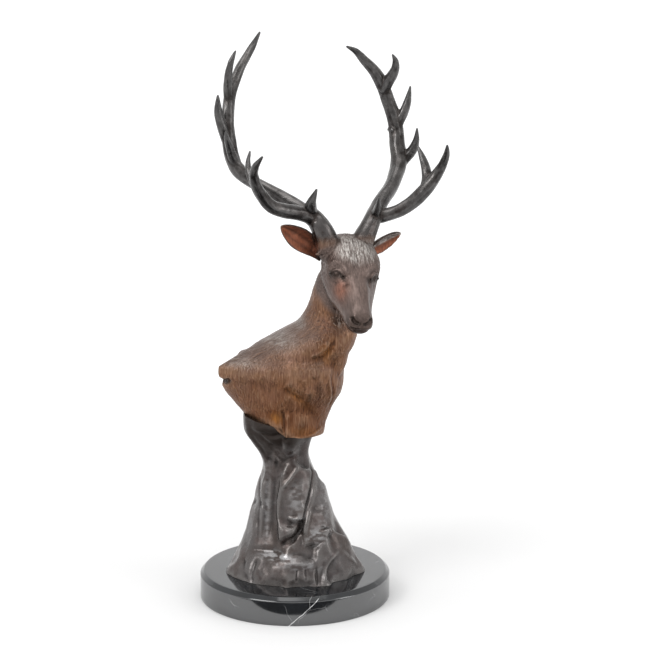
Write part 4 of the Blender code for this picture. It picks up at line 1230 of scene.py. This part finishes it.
class Nodes:
    """Short names for making and joining shader nodes."""

    def __init__(self, tree):
        self.tree = tree

    def add(self, kind, sockets=(), **options):
        node = self.tree.nodes.new(kind)
        for key, value in options.items():
            setattr(node, key, value)
        for key, value in dict(sockets).items():
            self.put(node.inputs[key], value)
        return node

    def put(self, socket, value):
        if isinstance(value, bpy.types.NodeSocket):
            self.tree.links.new(value, socket)
        elif socket.type == "RGBA":
            socket.default_value = (*value, 1.0)
        else:
            socket.default_value = value

    def math(self, operation, a, b=0.0, clamp=False):
        return self.add("ShaderNodeMath", {0: a, 1: b}, operation=operation,
                        use_clamp=clamp).outputs[0]

    def plus(self, a, b, clamp=False):
        return self.math("ADD", a, b, clamp)

    def minus(self, a, b, clamp=False):
        return self.math("SUBTRACT", a, b, clamp)

    def times(self, a, b, clamp=False):
        return self.math("MULTIPLY", a, b, clamp)

    def place(self):
        return self.add("ShaderNodeTexCoord").outputs["Object"]

    def span(self, value, low, high, to_low=0.0, to_high=1.0):
        return self.add("ShaderNodeMapRange", {"Value": value, "From Min": low, "From Max": high,
                                               "To Min": to_low, "To Max": to_high}).outputs[0]

    def blend(self, share, a, b, how="MIX"):
        node = self.add("ShaderNodeMix", data_type="RGBA", blend_type=how)
        self.put(node.inputs[0], share)
        self.put(node.inputs[6], a)
        self.put(node.inputs[7], b)
        return node.outputs[2]

    def mark(self, name):
        return self.add("ShaderNodeAttribute", attribute_name=name).outputs["Fac"]

    def cloud(self, vector, scale, detail=3.0, rough=0.5):
        return self.add("ShaderNodeTexNoise", {"Vector": vector, "Scale": scale, "Detail": detail,
                                               "Roughness": rough}).outputs[0]


def new_group(name, inputs, outputs):
    tree = bpy.data.node_groups.new(name, "ShaderNodeTree")
    for label, kind, default in inputs:
        socket = tree.interface.new_socket(label, in_out="INPUT", socket_type=kind)
        if default is not None:
            socket.default_value = default
    for label, kind in outputs:
        tree.interface.new_socket(label, in_out="OUTPUT", socket_type=kind)
    n = Nodes(tree)
    return tree, n, n.add("NodeGroupInput"), n.add("NodeGroupOutput")


def wear_group():
    """Worn patina: edges rubbed towards bright metal, hollows filled with dark
    wax, both broken up by a cloud pattern."""
    tree, n, inp, out = new_group("worn_patina", [
        ("Ground", "NodeSocketColor", None), ("Wax", "NodeSocketColor", None),
        ("Bright", "NodeSocketColor", None), ("Groove", "NodeSocketFloat", 0.0),
        ("Deep", "NodeSocketFloat", 0.0), ("Wax share", "NodeSocketFloat", 0.7),
        ("Rub share", "NodeSocketFloat", 0.3)],
        [("Color", "NodeSocketColor"), ("Rubbed", "NodeSocketFloat")])
    place = n.place()
    cloud = n.cloud(place, 70.0, 4.0, 0.6)
    hollow = n.plus(n.times(inp.outputs["Groove"], 0.55),
                    n.times(inp.outputs["Deep"], 0.75))
    hollow = n.plus(hollow, n.span(cloud, 0.3, 0.7, -0.12, 0.12))
    wax = n.times(n.span(hollow, 0.02, 0.75), inp.outputs["Wax share"], True)
    rub = n.times(n.span(hollow, -0.10, -0.70), inp.outputs["Rub share"], True)
    colour = n.blend(wax, inp.outputs["Ground"], inp.outputs["Wax"])
    colour = n.blend(rub, colour, inp.outputs["Bright"])
    n.put(out.inputs["Color"], colour)
    n.put(out.inputs["Rubbed"], rub)
    return tree


def grain_group():
    """The skin of a casting: a fine even grain with a few soft dimples."""
    tree, n, inp, out = new_group("cast_grain", [("Amount", "NodeSocketFloat", 1.0)],
                                  [("Height", "NodeSocketFloat")])
    place = n.place()
    fine = n.cloud(place, 900.0, 2.0)
    soft = n.cloud(place, 160.0, 3.0, 0.55)
    both = n.plus(n.times(fine, 0.25), n.times(soft, 0.75))
    n.put(out.inputs["Height"], n.times(both, inp.outputs["Amount"]))
    return tree


def blank_material(name):
    mat = bpy.data.materials.new(name)
    mat.use_nodes = True
    mat.node_tree.nodes.clear()
    n = Nodes(mat.node_tree)
    shader = n.add("ShaderNodeBsdfPrincipled")
    n.put(n.add("ShaderNodeOutputMaterial").inputs["Surface"], shader.outputs[0])
    return mat, n, shader


def stag_material(settings, wear, grain):
    """Warm brown patina, orange low down, grey on head and back, red in the ears,
    rubbed bright on the forehead, dark on the antlers with painted light on their upper
    sides and painted shade under them, and painted shade at the eyes, nostrils, jaw and hind notch."""
    mat, n, shader = blank_material("brown_patina")
    place = n.place()
    flow = n.add("ShaderNodeAttribute", attribute_name="flow").outputs["Vector"]
    wide, middle = n.cloud(place, 22.0, 4.0, 0.6), n.cloud(place, 75.0, 3.0, 0.6)
    hairs = n.cloud(flow, 0.55, 3.0, 0.6)
    strokes = n.plus(n.mark("strokes"), n.span(hairs, 0.3, 0.7, -0.5, 0.5))
    colour = n.blend(n.span(wide, 0.35, 0.65), settings.brown, settings.brown_deep)
    colour = n.blend(n.times(n.span(middle, 0.42, 0.62), 0.45), colour, settings.brown_plum)
    orange = n.times(n.mark("orange"), n.span(middle, 0.3, 0.6, 0.55, 1.0), True)
    colour = n.blend(orange, colour, settings.orange)
    colour = n.blend(n.mark("grey"), colour, settings.head_grey)
    ochre = n.times(n.mark("ochre"), n.span(middle, 0.3, 0.6, 0.6, 1.0), True)
    colour = n.blend(ochre, colour, settings.ochre)
    red = n.times(n.mark("red"), n.span(middle, 0.3, 0.65, 1.0, 0.7), True)
    colour = n.blend(red, colour, settings.ear_red)
    silver = n.times(n.mark("silver"), n.span(strokes, -0.25, 0.45, 0.25, 1.0), True)
    colour = n.blend(silver, colour, settings.silver)
    # painted light on the antlers' upper sides, with lighter worn patches from the cloud
    lit = n.plus(n.times(n.mark("upper"), 0.16), n.cloud(place, 40.0, 4.0, 0.65))
    antler_colour = n.blend(n.span(lit, 0.46, 0.72), settings.antler_dark, settings.antler_worn_and_lit)
    antler_colour = n.blend(n.times(n.mark("root"), 0.8), antler_colour, settings.antler_root)
    # nearly black tips, and painted shade on the undersides
    antler_colour = n.blend(n.mark("tips"), antler_colour, settings.antler_tip_and_shade)
    colour = n.blend(n.mark("antler"), colour, antler_colour)
    bright = n.blend(n.mark("grey"), settings.rubbed, settings.head_rubbed)
    bright = n.blend(n.mark("antler"), bright, settings.antler_rubbed)
    worn = n.add("ShaderNodeGroup", node_tree=wear)
    for label, value in {"Ground": colour, "Wax": settings.wax, "Bright": bright,
                         "Groove": n.times(n.mark("groove"), 0.8),
                         "Deep": n.times(n.mark("deep"), 0.55),
                         "Wax share": 0.5, "Rub share": 0.34}.items():
        n.put(worn.inputs[label], value)
    streak = n.span(strokes, -0.8, 1.0, 0.80, 1.28)
    streak = n.add("ShaderNodeCombineColor", {0: streak, 1: streak, 2: streak}).outputs[0]
    streaked = n.blend(1.0, worn.outputs["Color"], streak, "MULTIPLY")
    # dark eyeballs, ear rims and nose pad, and the painted shade, in the wax colour
    n.put(shader.inputs["Base Color"], n.blend(n.mark("dark_and_shade"), streaked, settings.wax))
    rough = n.span(wide, 0.3, 0.7, 0.36, 0.48)
    rough = n.minus(rough, n.times(worn.outputs["Rubbed"], 0.22), True)
    rough = n.minus(rough, n.times(n.mark("antler"), 0.14))
    eye = n.times(n.mark("dark_and_shade"), 0.14)
    n.put(shader.inputs["Roughness"], n.minus(rough, eye, True))
    n.put(shader.inputs["Metallic"], n.span(worn.outputs["Rubbed"], 0.0, 0.3, 0.7, 0.85))
    cast = n.add("ShaderNodeGroup", {"Amount": 0.35}, node_tree=grain)
    fine = n.cloud(flow, 1.3, 2.0, 0.5)
    height = n.plus(cast.outputs["Height"], n.plus(n.times(hairs, 0.9), n.times(fine, 0.5)))
    bump = n.add("ShaderNodeBump", {"Height": height, "Strength": 0.55, "Distance": 0.0006})
    n.put(shader.inputs["Normal"], bump.outputs[0])
    return mat


def rock_material(settings, wear, grain):
    """Dark glossy brown with lighter worn edges, painted highlights on the front, and dark patina with
    painted shade under the bust, at the waist and under the ledge.
    """
    mat, n, shader = blank_material("dark_patina")
    place = n.place()
    wide, middle = n.cloud(place, 16.0, 4.0, 0.6), n.cloud(place, 60.0, 4.0, 0.65)
    colour = n.blend(n.span(wide, 0.38, 0.62), settings.rock_brown, settings.rock_grey)
    colour = n.blend(n.times(n.span(middle, 0.50, 0.70), 0.5), colour, settings.rock_plum)
    # dark red-brown patina with painted shade at the waist and under the ledge
    colour = n.blend(n.times(n.mark("waist_and_shade"), 0.75), colour, settings.rock_waist_and_shade)
    worn = n.add("ShaderNodeGroup", node_tree=wear)
    for label, value in {"Ground": colour, "Wax": settings.rock_dark, "Bright": settings.rock_worn,
                         "Groove": n.mark("groove"), "Deep": n.mark("deep"),
                         "Wax share": 0.85, "Rub share": 0.4}.items():
        n.put(worn.inputs[label], value)
    # dark brown patina with painted shade under the bust
    cap_and_shade = n.times(n.mark("cap_and_shade"), 0.92)
    # painted highlights: pale colour where light shines on the rock, more metallic there
    painted_highlight = n.mark("painted_highlight")
    colour = n.blend(painted_highlight, worn.outputs["Color"], settings.rock_painted_highlight)
    n.put(shader.inputs["Base Color"], n.blend(cap_and_shade, colour, settings.rock_cap_and_shade))
    n.put(shader.inputs["Metallic"], n.span(painted_highlight, 0.0, 1.0, 0.5, 0.9))
    n.put(shader.inputs["Roughness"], n.plus(n.span(middle, 0.3, 0.7, 0.20, 0.33), n.times(cap_and_shade, 0.15)))
    cast = n.add("ShaderNodeGroup", {"Amount": 0.7}, node_tree=grain)
    bump = n.add("ShaderNodeBump", {"Height": cast.outputs["Height"], "Strength": 0.4,
                                    "Distance": 0.0006})
    n.put(shader.inputs["Normal"], bump.outputs[0])
    return mat


def marble_material(settings):
    """Polished black stone with fine pale threads and one strong white vein
    that crosses the front of the edge on a slant."""
    mat, n, shader = blank_material("veined_black_marble")
    place = n.place()
    warp = n.add("ShaderNodeTexNoise", {"Vector": place, "Scale": 16.0, "Detail": 4.0})
    moved = n.add("ShaderNodeVectorMath", {0: warp.outputs["Color"], 1: (0.05, 0.05, 0.05)},
                  operation="MULTIPLY")
    moved = n.add("ShaderNodeVectorMath", {0: place, 1: moved.outputs[0]}, operation="ADD")
    cells = n.add("ShaderNodeTexVoronoi", {"Vector": moved.outputs[0], "Scale": 26.0},
                  feature="DISTANCE_TO_EDGE").outputs["Distance"]
    threads = n.times(n.span(cells, 0.014, 0.002),
                      n.span(n.cloud(place, 30.0, 3.0), 0.52, 0.68), True)
    x, y, z = n.add("ShaderNodeSeparateXYZ", {0: place}).outputs[:]
    waver = n.times(n.minus(n.cloud(place, 90.0, 3.0), 0.5), 0.006)
    sheet = n.minus(n.plus(x, waver), n.times(z, settings.vein_slope))
    sheet = n.math("ABSOLUTE", n.minus(sheet, settings.vein_foot))
    broken = n.span(n.cloud(place, 120.0, 2.0), 0.35, 0.55, 0.4, 1.0)
    front = n.times(n.span(y, -0.06, -0.09), n.span(z, TOP - 0.0015, TOP - 0.0045))
    core = n.span(sheet, settings.vein_width, settings.vein_width * 0.35)
    vein = n.times(n.times(core, broken), front, True)
    clouds = n.span(n.cloud(place, 40.0, 5.0, 0.65), 0.4, 0.75)
    ground = n.blend(clouds, settings.marble, settings.marble_cloud)
    colour = n.blend(n.times(threads, 0.30), ground, settings.vein)
    n.put(shader.inputs["Base Color"], n.blend(vein, colour, settings.vein))
    n.put(shader.inputs["Roughness"], n.span(n.cloud(place, 25.0, 3.0), 0.3, 0.7, 0.06, 0.11))
    n.put(shader.inputs["IOR"], n.span(z, TOP - 0.0056, TOP - 0.0046, settings.edge_shine, 1.6))
    return mat


def floor_material(settings):
    """White paper that glows a little further out, so that it stays white
    where the lamps don't reach."""
    mat, n, shader = blank_material("white_paper")
    out = n.add("ShaderNodeVectorMath", {0: n.place()}, operation="LENGTH").outputs["Value"]
    for label, value in {"Base Color": settings.floor, "Roughness": 0.9, "Specular IOR Level": 0.1,
                         "Emission Color": (1.0, 1.0, 1.0),
                         "Emission Strength": n.span(out, 0.3, 1.4, 0.0, settings.glow)}.items():
        n.put(shader.inputs[label], value)
    return mat


def shared_groups():
    groups = bpy.data.node_groups
    wear = groups.get("worn_patina") or wear_group()
    grain = groups.get("cast_grain") or grain_group()
    return wear, grain


# what a user may change

def colour(name, description, default):
    return FloatVectorProperty(name=name, description=description, subtype="COLOR", size=3,
                               min=0.0, max=1.0, default=default)


def number(name, description, default, **more):
    return FloatProperty(name=name, description=description, default=default, **more)


def most(description, default):
    return IntProperty(name="Triangles", description=description, default=default, min=20000)


class StagSettings(bpy.types.PropertyGroup):
    grain: number("Grain", "Size of the steps in which the skin is worked, in units",
                  0.85, min=0.5, max=3.0)
    stag_triangles: most("Most triangles the stag may have", 196000)
    stroke_depth: number("Hair depth", "Depth of the hair strokes, in units", 1.0, min=0.0, max=3.0)
    furrow_depth: number("Furrow depth", "Depth of the furrows along the antlers, in units",
                         1.0, min=0.0, max=3.0)
    brown: colour("Brown", "Patina of the shoulder", (0.185, 0.088, 0.044))
    brown_deep: colour("Deep brown", "Darker clouds in the brown", (0.125, 0.060, 0.031))
    brown_plum: colour("Plum brown", "Cooler spots in the brown", (0.145, 0.072, 0.050))
    orange: colour("Orange", "Patina low on the shoulder and the leg", (0.112, 0.035, 0.008))
    ochre: colour("Ochre", "Patina in the fold beside the leg and under the ruff", (0.250, 0.098, 0.018))
    head_grey: colour("Grey brown", "Patina of the head and the back", (0.100, 0.071, 0.061))
    ear_red: colour("Ear red", "Patina in the bowls of the ears", (0.250, 0.078, 0.036))
    # also painted as highlights on the strands under the jaw
    silver: colour("Silver", "Metal rubbed bright on the forehead", (0.330, 0.312, 0.292))
    rubbed: colour("Rubbed edge", "Metal rubbed bright on edges", (0.300, 0.200, 0.135))
    # also the colour of the dark eyeballs, ear rims and nose pad, and of the painted shade at the eyes,
    # nostrils, jaw and hind notch
    wax: colour("Wax", "Dark wax left in the hollows", (0.020, 0.013, 0.010))
    antler_dark: colour("Antler", "Dark patina of the antlers", (0.014, 0.011, 0.010))
    # worn patches, and painted light on the antlers' upper sides
    antler_worn_and_lit: colour("Worn antler", "Lighter worn patches of the antlers", (0.071, 0.065, 0.062))
    head_rubbed: colour("Rubbed head", "Metal rubbed bright on the head's edges", (0.165, 0.130, 0.118))
    antler_root: colour("Antler root", "Brown where the antlers leave the head", (0.024, 0.015, 0.012))
    antler_rubbed: colour("Rubbed antler", "Metal rubbed bright on the antlers", (0.190, 0.186, 0.184))
    # nearly black tips, and painted shade on the antlers' undersides
    antler_tip_and_shade: colour("Antler tip", "Nearly black tips of the tines", (0.010, 0.009, 0.009))


class RockSettings(bpy.types.PropertyGroup):
    rock_grain: number("Grain", "Size of the steps in which the rock is worked, in units",
                       1.0, min=0.5, max=3.0)
    rock_triangles: most("Most triangles the rock may have", 150000)
    rock_relief: number("Relief", "Height of the lumps and ridges, in units", 1.0, min=0.0, max=3.0)
    rock_brown: colour("Brown", "Patina of the rock", (0.058, 0.044, 0.039))
    rock_grey: colour("Grey", "Greyer clouds", (0.092, 0.084, 0.083))
    rock_plum: colour("Plum", "Red-brown spots", (0.058, 0.035, 0.031))
    # dark brown patina with painted shade under the bust
    rock_cap_and_shade: colour("Cap", "Dark brown under the bust", (0.014, 0.007, 0.004))
    # dark red-brown patina with painted shade at the waist and under the ledge
    rock_waist_and_shade: colour("Waist", "Dark red-brown at the waist", (0.018, 0.008, 0.006))
    # painted highlight: pale colour for the shine of light on the rock's front
    rock_painted_highlight: colour("Gleam", "Pale metal where hands wear the rock", (0.400, 0.395, 0.400))
    rock_dark: colour("Hollow", "Dark wax in the creases", (0.012, 0.009, 0.008))
    rock_worn: colour("Worn edge", "Lighter metal on the edges", (0.190, 0.182, 0.176))


class MarbleSettings(bpy.types.PropertyGroup):
    marble: colour("Black", "Ground of the marble", (0.004, 0.0048, 0.006))
    marble_cloud: colour("Cloud", "Lighter clouds in the black", (0.011, 0.013, 0.016))
    vein: colour("Vein", "White of the veins", (0.700, 0.700, 0.700))
    vein_foot: number("Vein foot", "Where the strong vein meets the underside, right of the middle",
                      -0.0045, subtype="DISTANCE")
    vein_slope: number("Vein slope", "How far the vein runs to the right for each metre of height", 1.08)
    edge_shine: number("Edge shine", "Index of refraction of the polish on the edge",
                       2.3, min=1.0, max=3.0)
    vein_width: number("Vein width", "Half the width of the strong vein", 0.0009, subtype="DISTANCE")


class StageSettings(bpy.types.PropertyGroup):
    floor: colour("Floor", "Pale floor and backdrop", (0.72, 0.72, 0.72))
    glow: number("Floor glow", "Light that the paper gives further out", 0.4, min=0.0)
    sky: number("Sky", "Strength of the even white light", 0.95, min=0.0)
    key: number("Key light", "Power of the soft box at the upper left", 27.0, min=0.0, unit="POWER")
    top: number("Top light", "Power of the soft box overhead", 14.0, min=0.0, unit="POWER")
    side: number("Side light", "Power of the soft box at the right", 8.0, min=0.0, unit="POWER")
    distance: number("Camera distance", "From the marble's axis to the camera, level",
                     1.9, unit="LENGTH")
    height: number("Camera height", "Height of the camera over the floor", 0.66998, unit="LENGTH")
    aside: number("Camera aside", "How far the camera stands to the right", 0.03818, unit="LENGTH")
    down: number("Camera pitch", "How far the camera looks down", math.radians(9.67), subtype="ANGLE")
    lens: number("Lens", "Focal length on a 36 mm sensor", 86.23, unit="CAMERA")


# operators

class STAG_OT_stag(bpy.types.Operator):
    """Build the stag: head, ears, antlers, neck and shoulder as one casting"""
    bl_idname = "stag.stag"
    bl_label = "Stag"

    def execute(self, context):
        settings = context.scene.stag
        ob, antlers = sculpt_stag(settings)
        mark_patina(ob, antlers)
        finish(ob, stag_material(settings, *shared_groups()), "stag_bust")
        return {"FINISHED"}


class STAG_OT_rock(bpy.types.Operator):
    """Build the bronze rock"""
    bl_idname = "stag.rock"
    bl_label = "Rock"

    def execute(self, context):
        settings = context.scene.stag_rock
        ob = sculpt_rock(settings)
        mark_rock(ob)
        finish(ob, rock_material(settings, *shared_groups()), "rock")
        return {"FINISHED"}


class STAG_OT_marble(bpy.types.Operator):
    """Build the round marble base"""
    bl_idname = "stag.marble"
    bl_label = "Marble base"

    def execute(self, context):
        ob = turn_base("polished_marble")
        finish(ob, marble_material(context.scene.stag_marble), "marble_base")
        return {"FINISHED"}


class STAG_OT_stage(bpy.types.Operator):
    """Set up the floor, the soft studio light and the camera"""
    bl_idname = "stag.stage"
    bl_label = "Stage"

    def execute(self, context):
        build_stage(context.scene, context.scene.stag_stage)
        return {"FINISHED"}


def soft_box(name, place, target, size, power):
    light = bpy.data.lights.new(name, "AREA")
    light.shape = "RECTANGLE"
    light.size, light.size_y = size
    light.energy = power
    ob = bpy.data.objects.new(name, light)
    ob.location = place
    ob.rotation_euler = (Vector(target) - Vector(place)).to_track_quat("-Z", "Y").to_euler()
    bpy.context.scene.collection.objects.link(ob)


def build_floor(settings):
    """A floor that curves up into a backdrop: level, then a quarter circle of
    radius 1 m, then upright."""
    reach, bend_at = 5.0, 2.6
    bend = np.linspace(0, math.pi / 2, 24)
    profile = np.concatenate([[[-reach, 0.0], [1.0, 0.0]],
                              np.stack([bend_at + np.sin(bend), 1 - np.cos(bend)], 1),
                              [[bend_at + 1, reach]]])
    verts = [(x, y, z) for y, z in profile.tolist() for x in (-reach, reach)]
    faces = [(i, i + 1, i + 3, i + 2) for i in range(0, len(verts) - 2, 2)]
    floor = add_object("floor", verts, faces)
    floor.data.materials.append(floor_material(settings))
    floor.data.shade_smooth()


def build_card():
    """A black card on the paper before the base, out of the camera's sight,
    for the dark middle of the marble's edge."""
    half, far, near, lift = 0.3, -0.6, -0.156, 0.001
    card = add_object("black_card", [(-half, far, lift), (half, far, lift),
                                     (half, near, lift), (-half, near, lift)], [(0, 1, 2, 3)])
    black, n, shader = blank_material("black_paper")
    n.put(shader.inputs["Base Color"], (0.01, 0.01, 0.01))
    n.put(shader.inputs["Roughness"], 0.9)
    card.data.materials.append(black)
    card.visible_camera = card.visible_shadow = card.visible_diffuse = False


def build_stage(scene, settings):
    """The floor and the card, three soft boxes, an even white sky and the
    camera."""
    build_floor(settings)
    build_card()
    soft_box("key_light", (-1.5, -1.5, 1.9), (0, 0, 0.4), (1.2, 1.2), settings.key)
    soft_box("top_light", (0.1, -0.3, 2.3), (0, 0, 0.3), (1.6, 1.2), settings.top)
    soft_box("side_light", (1.9, -0.9, 1.1), (0, 0, 0.4), (0.7, 1.4), settings.side)

    world = bpy.data.worlds.new("white_room")
    world.use_nodes = True
    back = world.node_tree.nodes["Background"]
    back.inputs["Color"].default_value = (1.0, 1.0, 1.0, 1.0)
    back.inputs["Strength"].default_value = settings.sky
    scene.world = world
    scene.view_settings.view_transform = "Standard"

    camera = bpy.data.cameras.new("camera")
    camera.sensor_width = 36.0
    camera.lens = settings.lens
    ob = bpy.data.objects.new("camera", camera)
    ob.location = (settings.aside, -settings.distance, settings.height)
    ob.rotation_euler = (math.pi / 2 - settings.down, 0.0, 0.0)
    scene.collection.objects.link(ob)
    scene.camera = ob


OPERATORS = (STAG_OT_marble, STAG_OT_rock, STAG_OT_stag, STAG_OT_stage)


class STAG_PT_panel(bpy.types.Panel):
    """Lists the pieces of the sculpture"""
    bl_label = "Bronze stag"
    bl_idname = "STAG_PT_panel"
    bl_space_type = "VIEW_3D"
    bl_region_type = "UI"
    bl_category = "Stag"

    def draw(self, context):
        for operator in OPERATORS:
            self.layout.operator(operator.bl_idname)


CLASSES = (StagSettings, RockSettings, MarbleSettings, StageSettings, *OPERATORS, STAG_PT_panel)


def register():
    for cls in CLASSES:
        bpy.utils.register_class(cls)
    bpy.types.Scene.stag = PointerProperty(type=StagSettings)
    bpy.types.Scene.stag_rock = PointerProperty(type=RockSettings)
    bpy.types.Scene.stag_marble = PointerProperty(type=MarbleSettings)
    bpy.types.Scene.stag_stage = PointerProperty(type=StageSettings)


def unregister():
    for name in ("stag", "stag_rock", "stag_marble", "stag_stage"):
        delattr(bpy.types.Scene, name)
    for cls in reversed(CLASSES):
        bpy.utils.unregister_class(cls)


def main():
    register()
    bpy.ops.stag.stage()
    bpy.ops.stag.marble()
    bpy.ops.stag.rock()
    bpy.ops.stag.stag()
    bpy.context.view_layer.update()


if __name__ == "__main__":
    main()
